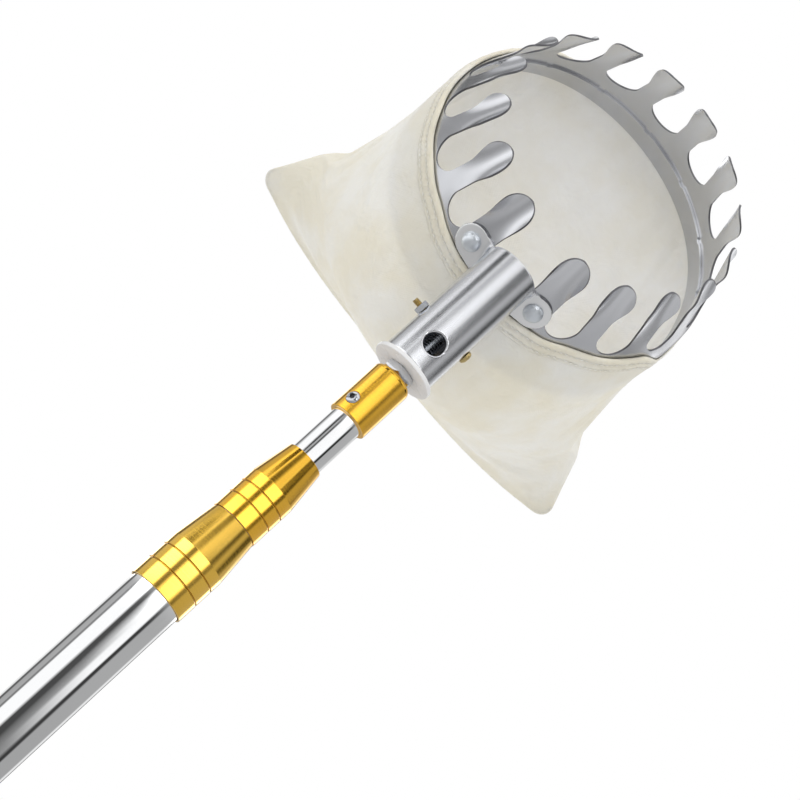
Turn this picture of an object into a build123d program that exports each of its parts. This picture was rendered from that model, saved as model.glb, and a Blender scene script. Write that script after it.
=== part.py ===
from build123d import *
import os
from math import cos, radians, sin

# Telescopic fruit picker: a three-section pole with two twist locks, and a crown head with a cloth bag.
# The pole runs up +Z from its butt end at the origin. The crown's mouth opens towards -Y, the bag lies on +Y.

# Pole tubes, in mm
outer_od = 25.0
outer_wall = 0.8
outer_length = 560.0
middle_wall = 0.7
middle_length = 520.0
top_wall = 0.7
top_length = 500.0
outer_to_middle_gap = 1.7
middle_to_top_gap = 1.8
top_tube_showing = 24.4

# Clearances
slide_clearance = 0.3
fit_clearance = 0.05
turn_clearance = 0.3
stud_clearance = 0.08

# Twist locks: a base in the end of the larger tube, a split collet and a banded nut with a cone
lower_lap = 12.0
skirt_relief = 0.3
lower_bands = (9.0, 8.0, 5.4)
lower_cone = 19.9
lower_skirt_wall = 0.7
lower_cone_wall = 0.9
upper_lap = 11.0
upper_bands = (8.3, 6.7, 6.0)
upper_cone = 18.8
upper_skirt_wall = 1.1
upper_cone_wall = 0.8
band_groove_width = 0.6
band_groove_depth = 0.35
nut_edge = 0.3
base_spigot = 18.0
base_lip = 1.4
base_neck = 11.0
base_neck_wall = 1.5
collet_height = 6.5
collet_taper = 0.7
collet_slit = 1.2

# Guide bushes and butt plug
bush_spigot = 16.0
bush_flange = 12.0
bush_wall = 2.2
bush_groove = 1.0
plug_spigot = 22.0
plug_flange = 4.0
plug_wall = 2.0
plug_rib_height = 0.4
plug_rib_pitch = 5.0

# Gold end connector with its grub screw
connector_wall = 1.8
connector_length = 27.5
connector_socket = 14.0
connector_edge = 1.2
connector_screw_height = 6.6
connector_screw_angle = 42.0
tip_screw_diameter = 3.0
tip_screw_head = 6.0
tip_screw_head_height = 1.9
tip_screw_hex = 2.0
tip_screw_hex_depth = 1.1
tip_screw_reach = 4.5

# Stud, nuts and end disc under the socket tube
stud_diameter = 8.0
stud_edge = 0.7
stud_in_connector = 11.0
stud_above_bolt = 8.0
nut_across_flats = 13.0
jam_nut_height = 4.0
inner_nut_height = 6.5
nut_corner_cut = 0.8
disc_rim = 2.0
disc_thickness = 2.0
disc_edge = 0.5

# Socket tube and its ears
socket_od = 26.0
socket_wall = 1.5
socket_length = 65.5
ear_thickness = 1.5
ear_height = 16.0
side_hole = 10.0
side_hole_height = 12.5
bolt_height = 23.5
bolt_diameter = 3.0
bolt_head = 6.0
bolt_head_height = 2.2
bolt_slot = 0.8
bolt_slot_depth = 0.9
bolt_past_nut = 3.0
bolt_nut_flats = 5.5
bolt_nut_height = 2.4
rivet_shank = 4.0
rivet_head = 9.0
rivet_head_height = 3.2
rivet_tail = 6.6
rivet_tail_height = 1.1

# Crown: a cone of sheet that leans inwards, with fingers cut into its upper part
crown_radius = 85.0
crown_lean = 20.0
crown_tilt = 70.0
crown_sheet = 1.0
crown_standoff = 0.5
crown_seat_height = 58.4
finger_count = 16
bracket_pitch = 31.2
gap_slant = 27.6
gap_corner = 8.2
neck_width = 10.2
neck_slant = 46.0
paddle_width = 15.6
paddle_slant = 59.0
tip_slant = 68.0
neck_lap = 1.0
trough_radius = 11.0
finger_sheet = 0.9
rivet_slant = 33.5

# Clamping hoop inside the crown
hoop_sheet = 0.9
hoop_start = 0.5
hoop_top = 15.0
hoop_step = 1.2
hoop_step_width = 3.0

# Cloth bag and its collar
cloth = 1.2
collar_cloth = 1.5
collar_top = 24.0
bag_depth = 71.0
bag_drop = 55.0
bag_seam_width = 206.0
bag_seam_thickness = 4.4
bag_fullness = 0.8
bag_stations = (0.0, 0.38, 0.7, 0.9, 1.0)

os.makedirs("parts", exist_ok=True)


def finish(part, label):
    """Name a finished piece and write its file."""
    part.label = label
    export_step(part, f"parts/{label}.step")


def ring_of(points):
    """Turn a closed outline of (radius, height) points about the pole axis."""
    with BuildSketch(Plane.XZ) as profile:
        with BuildLine():
            Polyline(*points, close=True)
        make_face()
    revolve(profile.sketch, axis=Axis.Z)


# Sizes that follow from the driving dimensions
middle_od = outer_od - 2 * outer_wall - 2 * outer_to_middle_gap
top_od = middle_od - 2 * middle_wall - 2 * middle_to_top_gap
outer_id = outer_od - 2 * outer_wall
middle_id = middle_od - 2 * middle_wall
top_id = top_od - 2 * top_wall

# A section slides in until its lock meets the nut below it, or its bush meets what lies below, whichever is first
lower_nut_z = outer_length - lower_lap
lower_nut_top = lower_nut_z + sum(lower_bands) + lower_cone
middle_on_nut = lower_nut_top + slide_clearance + upper_lap - middle_length
middle_on_plug = plug_spigot + slide_clearance + bush_flange
middle_bottom = max(middle_on_nut, middle_on_plug)
middle_top = middle_bottom + middle_length
upper_nut_z = middle_top - upper_lap
upper_nut_top = upper_nut_z + sum(upper_bands) + upper_cone
top_on_nut = upper_nut_top + top_tube_showing + connector_socket - top_length
top_on_bush = middle_bottom + bush_spigot + slide_clearance + bush_flange
top_bottom = max(top_on_nut, top_on_bush)
top_tube_top = top_bottom + top_length
connector_z = top_tube_top - connector_socket
connector_top = connector_z + connector_length
jam_nut_z = connector_top + turn_clearance
disc_z = jam_nut_z + jam_nut_height + fit_clearance
socket_z = disc_z + disc_thickness + fit_clearance
bolt_z = socket_z + bolt_height


def tube(od, wall, bottom, length):
    """Plain drawn tube on the pole axis."""
    with BuildSketch(Plane.XY.offset(bottom)) as profile:
        Circle(od / 2)
        Circle(od / 2 - wall, mode=Mode.SUBTRACT)
    extrude(profile.sketch, amount=length)


# Outer tube, the part that is held, with its end turned down under the nut's skirt and a plug in its butt end
with BuildPart() as outer_tube:
    tube(outer_od, outer_wall, 0, outer_length)
    with BuildSketch(Plane.XY.offset(lower_nut_z)):
        Circle(outer_od / 2)
        Circle(outer_od / 2 - skirt_relief, mode=Mode.SUBTRACT)
    extrude(amount=lower_lap, mode=Mode.SUBTRACT)
finish(outer_tube.part, "outer_tube")

plug_radius = outer_id / 2 - fit_clearance - plug_rib_height
with BuildPart() as butt_plug:
    ring_of(
        [
            (0, -plug_flange),
            (outer_od / 2 - nut_edge, -plug_flange),
            (outer_od / 2, -plug_flange + nut_edge),
            (outer_od / 2, 0),
            (plug_radius, 0),
            (plug_radius, plug_spigot),
            (plug_radius - plug_wall, plug_spigot),
            (plug_radius - plug_wall, 0),
            (0, 0),
        ]
    )
    for rib in range(1, int(plug_spigot / plug_rib_pitch)):
        with BuildSketch(Plane.XY.offset(rib * plug_rib_pitch)):
            Circle(plug_radius + plug_rib_height)
            Circle(plug_radius - plug_wall / 2, mode=Mode.SUBTRACT)
        extrude(amount=plug_rib_height)
finish(butt_plug.part, "butt_plug")


def lock_base(tube_od, wall, inner_od, seat):
    """Threaded sleeve: a spigot in the tube, a lip on its end and a neck for the nut."""
    bore = inner_od / 2 + slide_clearance
    neck = bore + base_neck_wall
    spigot = tube_od / 2 - wall - fit_clearance
    lip = tube_od / 2 - fit_clearance
    ring_of(
        [
            (bore, seat - base_spigot),
            (spigot, seat - base_spigot),
            (spigot, seat),
            (lip, seat),
            (lip, seat + base_lip),
            (neck, seat + base_lip),
            (neck, seat + base_lip + base_neck),
            (bore, seat + base_lip + base_neck),
        ]
    )


def lock_collet(inner_od, seat):
    """Split ring with a tapered outside, which stands on the neck of the base."""
    bore = inner_od / 2 + slide_clearance
    neck = bore + base_neck_wall
    foot = seat + base_lip + base_neck + fit_clearance
    head = foot + collet_height
    ring_of([(bore, foot), (neck, foot), (neck - collet_taper, head), (bore, head)])
    with BuildSketch(Plane.XY.offset(foot)) as slit:
        with Locations((0, neck)):
            Rectangle(collet_slit, 2 * neck)
    extrude(slit.sketch, amount=collet_height, mode=Mode.SUBTRACT)


def lock_nut(tube_od, inner_od, seat, lap, bands, cone, skirt_wall, cone_wall):
    """Banded twist nut: a skirt over the tube, a threaded waist and a cone down to the inner tube."""
    skirt = tube_od / 2 + slide_clearance
    waist = inner_od / 2 + slide_clearance + base_neck_wall + turn_clearance
    mouth = inner_od / 2 + slide_clearance
    band = skirt + skirt_wall
    foot = seat - lap
    head = foot + sum(bands) + cone
    shoulder = seat + base_lip + turn_clearance
    collet_foot = seat + base_lip + base_neck
    collet_head = collet_foot + collet_height + turn_clearance
    outline = [(band - nut_edge, foot), (band, foot + nut_edge)]
    level = foot
    for height in bands[:-1]:
        level += height
        outline += [
            (band, level - band_groove_width / 2),
            (band - band_groove_depth, level - band_groove_width / 2),
            (band - band_groove_depth, level + band_groove_width / 2),
            (band, level + band_groove_width / 2),
        ]
    lip = mouth + cone_wall
    outline += [(band, foot + sum(bands)), (lip, head - nut_edge), (lip - nut_edge, head)]
    inside = [
        (mouth, head),
        (mouth, collet_head),
        (waist - collet_taper, collet_head),
        (waist, collet_foot),
        (waist, shoulder),
        (skirt, shoulder),
        (skirt, foot),
    ]
    ring_of(outline + inside)


def guide_bush(tube_id, bore_id, bottom):
    """Plastic bush plugged into a tube's lower end, with a grooved flange that runs in the larger tube."""
    spigot = tube_id / 2 - fit_clearance
    flange = bore_id / 2 - slide_clearance
    hollow = spigot - bush_wall
    middle = bottom - bush_flange / 2
    ring_of(
        [
            (hollow, bottom - bush_flange),
            (flange - nut_edge, bottom - bush_flange),
            (flange, bottom - bush_flange + nut_edge),
            (flange, middle - bush_groove),
            (flange - bush_groove, middle - bush_groove),
            (flange - bush_groove, middle + bush_groove),
            (flange, middle + bush_groove),
            (flange, bottom),
            (spigot, bottom),
            (spigot, bottom + bush_spigot),
            (hollow, bottom + bush_spigot),
        ]
    )


# Lower twist lock, between the outer and the middle tube
with BuildPart() as lower_lock_base:
    lock_base(outer_od, outer_wall, middle_od, outer_length)
finish(lower_lock_base.part, "lower_lock_base")

with BuildPart() as lower_lock_collet:
    lock_collet(middle_od, outer_length)
finish(lower_lock_collet.part, "lower_lock_collet")

with BuildPart() as lower_lock_nut:
    lock_nut(
        outer_od, middle_od, outer_length, lower_lap, lower_bands, lower_cone, lower_skirt_wall, lower_cone_wall
    )
finish(lower_lock_nut.part, "lower_lock_nut")

# Middle section: tube, guide bush and the upper twist lock
with BuildPart() as middle_tube:
    tube(middle_od, middle_wall, middle_bottom, middle_length)
finish(middle_tube.part, "middle_tube")

with BuildPart() as middle_guide_bush:
    guide_bush(middle_id, outer_id, middle_bottom)
finish(middle_guide_bush.part, "middle_guide_bush")

with BuildPart() as upper_lock_base:
    lock_base(middle_od, middle_wall, top_od, middle_top)
finish(upper_lock_base.part, "upper_lock_base")

with BuildPart() as upper_lock_collet:
    lock_collet(top_od, middle_top)
finish(upper_lock_collet.part, "upper_lock_collet")

with BuildPart() as upper_lock_nut:
    lock_nut(middle_od, top_od, middle_top, upper_lap, upper_bands, upper_cone, upper_skirt_wall, upper_cone_wall)
finish(upper_lock_nut.part, "upper_lock_nut")

# Top section: tube, guide bush and the gold connector with its screw
screw_direction = Vector(-sin(radians(connector_screw_angle)), -cos(radians(connector_screw_angle)), 0)
connector_radius = top_od / 2 + fit_clearance + connector_wall
screw_plane = Plane(
    origin=Vector(0, 0, connector_z + connector_screw_height) + screw_direction * connector_radius,
    x_dir=(0, 0, 1),
    z_dir=screw_direction,
)

with BuildPart() as top_tube:
    tube(top_od, top_wall, top_bottom, top_length)
    with BuildSketch(screw_plane):
        Circle(tip_screw_diameter / 2 + fit_clearance)
    extrude(amount=-connector_radius, mode=Mode.SUBTRACT)
finish(top_tube.part, "top_tube")

with BuildPart() as top_guide_bush:
    guide_bush(top_id, middle_id, top_bottom)
finish(top_guide_bush.part, "top_guide_bush")

with BuildPart() as tip_connector:
    ring_of(
        [
            (top_od / 2 + fit_clearance, connector_z),
            (connector_radius - nut_edge, connector_z),
            (connector_radius, connector_z + nut_edge),
            (connector_radius, connector_top - connector_edge),
            (connector_radius - connector_edge, connector_top),
            (stud_diameter / 2 + stud_clearance, connector_top),
            (stud_diameter / 2 + stud_clearance, top_tube_top + fit_clearance),
            (top_od / 2 + fit_clearance, top_tube_top + fit_clearance),
        ]
    )
    with BuildSketch(screw_plane):
        Circle(tip_screw_diameter / 2 + fit_clearance)
    extrude(amount=-connector_radius, mode=Mode.SUBTRACT)
    with BuildSketch(screw_plane.offset(-connector_wall / 2)):
        Circle(tip_screw_head / 2 + fit_clearance)
    extrude(amount=connector_wall, mode=Mode.SUBTRACT)
finish(tip_connector.part, "tip_connector")

with BuildPart() as tip_screw:
    with BuildSketch(screw_plane.offset(-connector_wall / 2 + fit_clearance)):
        Circle(tip_screw_head / 2)
    extrude(amount=tip_screw_head_height)
    crest = tip_screw.faces().sort_by(Axis(screw_plane.origin, screw_plane.z_dir))[-1]
    fillet(crest.edges(), tip_screw_head_height / 2)
    with BuildSketch(screw_plane.offset(-connector_wall / 2 + fit_clearance)):
        Circle(tip_screw_diameter / 2)
    extrude(amount=-tip_screw_reach)
    with BuildSketch(screw_plane.offset(-connector_wall / 2 + fit_clearance + tip_screw_head_height)):
        RegularPolygon(tip_screw_hex / 2, 6, major_radius=False)
    extrude(amount=-tip_screw_hex_depth, mode=Mode.SUBTRACT)
finish(tip_screw.part, "tip_screw")


def hex_nut(across_flats, height, bore, plane):
    """Hexagon nut with chamfered corners, standing on a plane."""
    corner = across_flats / 2 / cos(radians(30))
    cut = (corner - across_flats / 2) * nut_corner_cut
    with BuildSketch(plane) as hexagon:
        RegularPolygon(across_flats / 2, 6, major_radius=False)
        Circle(bore, mode=Mode.SUBTRACT)
    extrude(hexagon.sketch, amount=height)
    turned = Plane(origin=plane.origin, x_dir=plane.x_dir, z_dir=plane.x_dir.cross(plane.z_dir))
    with BuildSketch(turned) as blank:
        with BuildLine():
            Polyline(
                (0, 0),
                (corner - cut, 0),
                (corner, cut),
                (corner, height - cut),
                (corner - cut, height),
                (0, height),
                close=True,
            )
        make_face()
    revolve(blank.sketch, axis=Axis(plane.origin, plane.z_dir), mode=Mode.INTERSECT)


# Head: the stud with its nuts and the end disc
stud_bottom = connector_top - stud_in_connector
stud_top = bolt_z + stud_above_bolt
with BuildPart() as head_stud:
    with BuildSketch(Plane.XY.offset(stud_bottom)):
        Circle(stud_diameter / 2)
    extrude(amount=stud_top - stud_bottom)
    chamfer(head_stud.edges().filter_by(GeomType.CIRCLE), stud_edge)
    with BuildSketch(Plane.YZ):
        with Locations((0, bolt_z)):
            Circle(bolt_diameter / 2 + fit_clearance)
    extrude(amount=stud_diameter, both=True, mode=Mode.SUBTRACT)
finish(head_stud.part, "head_stud")

with BuildPart() as jam_nut:
    hex_nut(nut_across_flats, jam_nut_height, stud_diameter / 2 + fit_clearance, Plane.XY.offset(jam_nut_z))
finish(jam_nut.part, "jam_nut")

with BuildPart() as end_disc:
    with BuildSketch(Plane.XY.offset(disc_z)):
        Circle(socket_od / 2 + disc_rim)
        Circle(stud_diameter / 2 + fit_clearance, mode=Mode.SUBTRACT)
    extrude(amount=disc_thickness)
    rim = end_disc.edges().filter_by(GeomType.CIRCLE).group_by(SortBy.RADIUS)[-1]
    chamfer(rim, disc_edge)
finish(end_disc.part, "end_disc")

with BuildPart() as inner_nut:
    hex_nut(nut_across_flats, inner_nut_height, stud_diameter / 2 + fit_clearance, Plane.XY.offset(socket_z))
finish(inner_nut.part, "inner_nut")

# Crown frame: its axis leans by crown_tilt from the pole, and its wall meets the socket tube at the bracket gap
lean = radians(crown_lean)
tilt = radians(crown_tilt)
gap_radius = crown_radius - gap_slant * sin(lean)
gap_height = gap_slant * cos(lean)
crown_axis_dir = Vector(0, -sin(tilt), cos(tilt))
crown_back_dir = Vector(0, cos(tilt), sin(tilt))
seat_point = Vector(0, socket_od / 2 + crown_standoff, socket_z + crown_seat_height)
crown_centre = seat_point + crown_back_dir * gap_radius - crown_axis_dir * gap_height
crown_plane = Plane(origin=crown_centre, x_dir=(1, 0, 0), z_dir=crown_axis_dir)
crown_axis = Axis(crown_centre, crown_axis_dir)


def crown_directions(angle):
    """Radial, tangential, outward and up-the-wall directions at an angle from the bracket."""
    turn = radians(angle)
    radial = crown_plane.x_dir * sin(turn) - crown_plane.y_dir * cos(turn)
    tangent = crown_plane.x_dir * cos(turn) + crown_plane.y_dir * sin(turn)
    outward = radial * cos(lean) + crown_plane.z_dir * sin(lean)
    upward = crown_plane.z_dir * cos(lean) - radial * sin(lean)
    return radial, tangent, outward, upward


def wall_plane(angle, slant, stand_off):
    """Plane on the crown wall's outside: x runs round the crown, y up the wall, z outwards."""
    radial, tangent, outward, upward = crown_directions(angle)
    origin = crown_centre + radial * crown_radius + upward * slant + outward * stand_off
    return Plane(origin=origin, x_dir=tangent, z_dir=outward)


def wall_band(low, high, inner, outer):
    """Cone-shaped band between two slant heights and two distances from the wall's outside."""
    radial = crown_directions(0)[0]
    corners = []
    for slant, depth in ((low, inner), (high, inner), (high, outer), (low, outer)):
        corners.append(
            (
                crown_radius - slant * sin(lean) + depth * cos(lean),
                slant * cos(lean) + depth * sin(lean),
            )
        )
    side = Plane(origin=crown_centre, x_dir=radial, z_dir=radial.cross(crown_plane.z_dir))
    with BuildSketch(side) as profile:
        with BuildLine():
            Polyline(*corners, close=True)
        make_face()
    revolve(profile.sketch, axis=crown_axis)


# Finger angles, counted both ways from the bracket, and the gaps between them
pitch = (360 - bracket_pitch) / (finger_count - 1)
finger_angles = [bracket_pitch / 2 + pitch * step for step in range(finger_count)]
gap_angles = [angle + pitch / 2 for angle in finger_angles[:-1]]


def wall_radius(slant):
    """Radius of the wall's outside at a slant height."""
    return crown_radius - slant * sin(lean)


# One finger above its neck: a trough of sheet, cut to a paddle outline
strip_half = paddle_width / 2 + 2 * crown_sheet
mid_depth = -crown_sheet / 2


def strip_section(angle, slant, radius, hollow):
    """Curved strip across a finger. A hollow strip turns its edges outwards, a plain one follows the wall."""
    radial, tangent, outward, upward = crown_directions(angle)
    origin = crown_centre + radial * crown_radius + upward * slant + outward * mid_depth
    spread = strip_half / radius
    side = -1 if hollow else 1
    near = radius - finger_sheet / 2
    far = radius + finger_sheet / 2
    with BuildSketch(Plane(origin=origin, x_dir=tangent, z_dir=upward)) as section:
        with BuildLine():
            ends = []
            for bend in (near, far):
                edge = (bend * sin(spread), side * (radius - bend * cos(spread)))
                ThreePointArc((-edge[0], edge[1]), (0, side * (radius - bend)), edge)
                ends.append(edge)
            Line(ends[0], ends[1])
            Line((-ends[0][0], ends[0][1]), (-ends[1][0], ends[1][1]))
        make_face()
    return section.sketch


first_finger = finger_angles[0]
with BuildPart() as finger:
    loft(
        [
            strip_section(first_finger, neck_slant - neck_lap, wall_radius(neck_slant) / cos(lean), False),
            strip_section(first_finger, neck_slant, wall_radius(neck_slant) / cos(lean), False),
            strip_section(first_finger, (neck_slant + paddle_slant) / 2, 2 * trough_radius, True),
            strip_section(first_finger, paddle_slant, trough_radius, True),
            strip_section(first_finger, tip_slant + crown_sheet, trough_radius, True),
        ]
    )
    with BuildSketch(wall_plane(first_finger, 0, 0)):
        with BuildLine():
            neck_edge = (neck_width / 2, neck_slant - neck_lap)
            paddle_edge = (paddle_width / 2, paddle_slant)
            Line((0, neck_edge[1]), neck_edge)
            Spline(neck_edge, paddle_edge, tangents=((0, 1), (0, 1)))
            EllipticalCenterArc((0, paddle_slant), paddle_width / 2, tip_slant - paddle_slant, arc_size=90)
            Line((0, tip_slant), (0, neck_edge[1]))
        make_face()
        mirror(about=Plane.YZ)
    extrude(amount=3 * trough_radius, both=True, mode=Mode.INTERSECT)
fingers = [finger.part.rotate(crown_axis, angle - first_finger) for angle in finger_angles]

# The crown: a leaning band, round-bottomed gaps, and the fingers on their necks
with BuildPart() as crown_ring:
    wall_band(0, neck_slant, -crown_sheet, 0)
    gap_height_up = neck_slant - gap_slant + 2 * gap_corner
    for angle in gap_angles + [0]:
        span = bracket_pitch if angle == 0 else pitch
        gap_width = radians(span) * wall_radius((gap_slant + neck_slant) / 2) - neck_width
        corner = min(gap_corner, gap_width / 2 - fit_clearance)
        with BuildSketch(wall_plane(angle, 0, 0)):
            with Locations((0, gap_slant + gap_height_up / 2)):
                RectangleRounded(gap_width, gap_height_up, corner)
        extrude(amount=2 * gap_corner, both=True, mode=Mode.SUBTRACT)
    add(fingers)
    for angle in (-bracket_pitch / 2, bracket_pitch / 2):
        with BuildSketch(wall_plane(angle, rivet_slant, 0)):
            Circle(rivet_shank / 2 + fit_clearance)
        extrude(amount=2 * crown_sheet, both=True, mode=Mode.SUBTRACT)
finish(crown_ring.part, "crown_ring")

# Hoop inside the crown's band, with a step in its top edge at every gap
with BuildPart() as inner_hoop:
    wall_band(hoop_start, hoop_top, -crown_sheet - fit_clearance - hoop_sheet, -crown_sheet - fit_clearance)
    for angle in gap_angles + [0]:
        with BuildSketch(wall_plane(angle, hoop_top, 0)):
            Rectangle(hoop_step_width, 2 * hoop_step)
        extrude(amount=-3 * (crown_sheet + hoop_sheet), mode=Mode.SUBTRACT)
finish(inner_hoop.part, "inner_hoop")

# Socket bracket: a tube that ends on the crown wall, with an ear on each side along the wall
ear_low = rivet_slant - ear_height / 2
ear_high = rivet_slant + ear_height / 2
ear_reach = 2 * wall_radius(rivet_slant) * sin(radians(bracket_pitch / 2))
with BuildPart() as ears:
    wall_band(ear_low - ear_height, ear_high + ear_height, fit_clearance, fit_clearance + ear_thickness)
    with BuildSketch(wall_plane(0, rivet_slant, 0)):
        SlotCenterToCenter(ear_reach, ear_height)
    extrude(amount=ear_reach, both=True, mode=Mode.INTERSECT)

with BuildPart() as crown_room:
    wall_band(ear_low - socket_od, tip_slant, -socket_od, fit_clearance)

with BuildPart() as socket_bracket:
    with BuildSketch(Plane.XY.offset(socket_z)):
        Circle(socket_od / 2)
    extrude(amount=socket_length)
    add(crown_room.part, mode=Mode.SUBTRACT)
    add(ears.part)
    with BuildSketch(Plane.XY.offset(socket_z)):
        Circle(socket_od / 2 - socket_wall)
    extrude(amount=2 * socket_length, mode=Mode.SUBTRACT)
    with BuildSketch(Plane.XZ):
        with Locations((0, socket_z + side_hole_height)):
            Circle(side_hole / 2)
    extrude(amount=socket_od, mode=Mode.SUBTRACT)
    with BuildSketch(Plane.YZ):
        with Locations((0, bolt_z)):
            Circle(bolt_diameter / 2 + fit_clearance)
    extrude(amount=socket_od, both=True, mode=Mode.SUBTRACT)
    for angle in (-bracket_pitch / 2, bracket_pitch / 2):
        with BuildSketch(wall_plane(angle, rivet_slant, 0)):
            Circle(rivet_shank / 2 + fit_clearance)
        extrude(amount=2 * ear_thickness, both=True, mode=Mode.SUBTRACT)
finish(socket_bracket.part, "socket_bracket")

# Cross bolt through the socket tube and the stud, with its nut on the -X side
bolt_seat = socket_od / 2 + fit_clearance
with BuildPart() as cross_bolt:
    with BuildSketch(Plane.YZ.offset(bolt_seat)):
        with Locations((0, bolt_z)):
            Circle(bolt_head / 2)
    extrude(amount=bolt_head_height)
    fillet(cross_bolt.faces().sort_by(Axis.X)[-1].edges(), bolt_head_height / 2)
    with BuildSketch(Plane.YZ.offset(bolt_seat + bolt_head_height)):
        with Locations((0, bolt_z)):
            Rectangle(bolt_slot, bolt_head)
            Rectangle(bolt_head, bolt_slot)
    extrude(amount=-bolt_slot_depth, mode=Mode.SUBTRACT)
    with BuildSketch(Plane.YZ.offset(bolt_seat)):
        with Locations((0, bolt_z)):
            Circle(bolt_diameter / 2)
    extrude(amount=-2 * bolt_seat - bolt_nut_height - bolt_past_nut)
finish(cross_bolt.part, "cross_bolt")

cross_nut_plane = Plane(origin=(-bolt_seat, 0, bolt_z), x_dir=(0, 1, 0), z_dir=(-1, 0, 0))
with BuildPart() as cross_nut:
    hex_nut(bolt_nut_flats, bolt_nut_height, bolt_diameter / 2 + fit_clearance, cross_nut_plane)
finish(cross_nut.part, "cross_nut")

# Two domed rivets, through the ears and the roots of the two fingers beside the tube
rivet_seat = 2 * fit_clearance + ear_thickness
tail_seat = crown_sheet + 2 * fit_clearance
with BuildPart() as bracket_rivets:
    for angle in (-bracket_pitch / 2, bracket_pitch / 2):
        dome_radius = (rivet_head**2 / 4 + rivet_head_height**2) / (2 * rivet_head_height)
        radial, tangent, outward, upward = crown_directions(angle)
        foot = crown_centre + radial * crown_radius + upward * rivet_slant
        with BuildSketch(Plane(origin=foot, x_dir=tangent, z_dir=tangent.cross(outward))):
            with BuildLine():
                brow = (rivet_head / 2, rivet_seat)
                crest = (0, rivet_seat + rivet_head_height)
                RadiusArc(crest, brow, dome_radius)
                Polyline(
                    brow,
                    (rivet_shank / 2, rivet_seat),
                    (rivet_shank / 2, -tail_seat),
                    (rivet_tail / 2, -tail_seat),
                    (rivet_tail / 2, -tail_seat - rivet_tail_height),
                    (0, -tail_seat - rivet_tail_height),
                    crest,
                )
            make_face()
        revolve(axis=Axis(foot, outward))
finish(bracket_rivets.part, "bracket_rivets")

# Cloth collar sewn round the outside of the band
with BuildPart() as bag_collar:
    wall_band(0, collar_top, fit_clearance, fit_clearance + collar_cloth)
finish(bag_collar.part, "bag_collar")

# Bag: a sack that hangs from the lower edge of the crown and closes in a straight seam
mouth_radius = crown_radius + collar_cloth * cos(lean)
bag_top = -fit_clearance


def bag_sack(inset):
    """Sack from the crown's round mouth to the long flat seam, drawn in by an inset."""
    sections = []
    for station in bag_stations:
        drop = bag_drop * station**2
        level = bag_top - (bag_depth - inset) * station
        half_width = mouth_radius + (bag_seam_width / 2 - mouth_radius) * station
        half_depth = mouth_radius * (1 - station**2) ** bag_fullness + bag_seam_thickness / 2 * station
        with BuildSketch(crown_plane.offset(level)) as section:
            with Locations((0, -drop)):
                Ellipse(half_width - inset, half_depth - inset)
        sections.append(section.sketch)
    loft(sections)


with BuildPart() as sack_inside:
    bag_sack(cloth)

seam_point = crown_centre - crown_back_dir * bag_drop - crown_axis_dir * bag_depth
side_seam = Plane(origin=crown_centre, x_dir=(1, 0, 0), z_dir=Vector(1, 0, 0).cross(seam_point - crown_centre))

with BuildPart() as bag_front_panel:
    bag_sack(0)
    add(sack_inside.part, mode=Mode.SUBTRACT)
    split(bisect_by=side_seam, keep=Keep.BOTTOM)
finish(bag_front_panel.part, "bag_front_panel")

with BuildPart() as bag_back_panel:
    bag_sack(0)
    add(sack_inside.part, mode=Mode.SUBTRACT)
    split(bisect_by=side_seam, keep=Keep.TOP)
finish(bag_back_panel.part, "bag_back_panel")
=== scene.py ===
from math import cos, pi, radians, sin, sqrt, tan

import bmesh
import bpy
import numpy as np
from mathutils import Matrix, Vector


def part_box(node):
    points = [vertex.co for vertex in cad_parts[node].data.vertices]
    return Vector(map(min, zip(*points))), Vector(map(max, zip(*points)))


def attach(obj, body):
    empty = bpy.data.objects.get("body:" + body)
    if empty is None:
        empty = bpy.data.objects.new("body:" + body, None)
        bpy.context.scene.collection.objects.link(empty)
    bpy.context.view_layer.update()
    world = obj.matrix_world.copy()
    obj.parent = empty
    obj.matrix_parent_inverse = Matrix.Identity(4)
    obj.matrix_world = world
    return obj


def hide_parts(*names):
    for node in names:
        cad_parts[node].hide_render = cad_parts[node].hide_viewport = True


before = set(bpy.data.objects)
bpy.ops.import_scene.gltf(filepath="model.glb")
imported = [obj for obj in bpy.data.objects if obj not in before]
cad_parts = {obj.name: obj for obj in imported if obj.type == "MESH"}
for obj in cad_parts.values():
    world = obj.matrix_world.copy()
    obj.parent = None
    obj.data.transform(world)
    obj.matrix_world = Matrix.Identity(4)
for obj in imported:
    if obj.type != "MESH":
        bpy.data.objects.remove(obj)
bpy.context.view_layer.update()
mm = 0.001

# Pole tubes. Three stainless tubes, drawn and mirror polished, slide inside each other.
# Their ends are cut square and deburred, and polishing leaves faint lines along each tube.


def new_group(name, inputs, outputs):
    """Shader node group with its two end nodes. Its values are floats, and a tuple makes a vector input."""
    tree = bpy.data.node_groups.new(name, "ShaderNodeTree")
    for label, value in inputs.items():
        kind = "NodeSocketVector" if isinstance(value, tuple) else "NodeSocketFloat"
        tree.interface.new_socket(label, in_out="INPUT", socket_type=kind).default_value = value
    for label in outputs:
        tree.interface.new_socket(label, in_out="OUTPUT", socket_type="NodeSocketFloat")
    return tree, tree.nodes.new("NodeGroupInput"), tree.nodes.new("NodeGroupOutput")


def feed(tree, node, links):
    """Set a node's inputs to values, or link them to other nodes' outputs."""
    for key, value in links.items():
        if isinstance(value, bpy.types.NodeSocket):
            tree.links.new(value, node.inputs[key])
        else:
            node.inputs[key].default_value = value


def add_node(tree, kind, links=None, **settings):
    """Node with its settings and its inputs."""
    node = tree.nodes.new(kind)
    for key, value in settings.items():
        setattr(node, key, value)
    feed(tree, node, links or {})
    return node


def computed(tree, operation, *values):
    """Output of a math node on values or sockets."""
    return add_node(tree, "ShaderNodeMath", dict(enumerate(values)), operation=operation).outputs[0]


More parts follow.
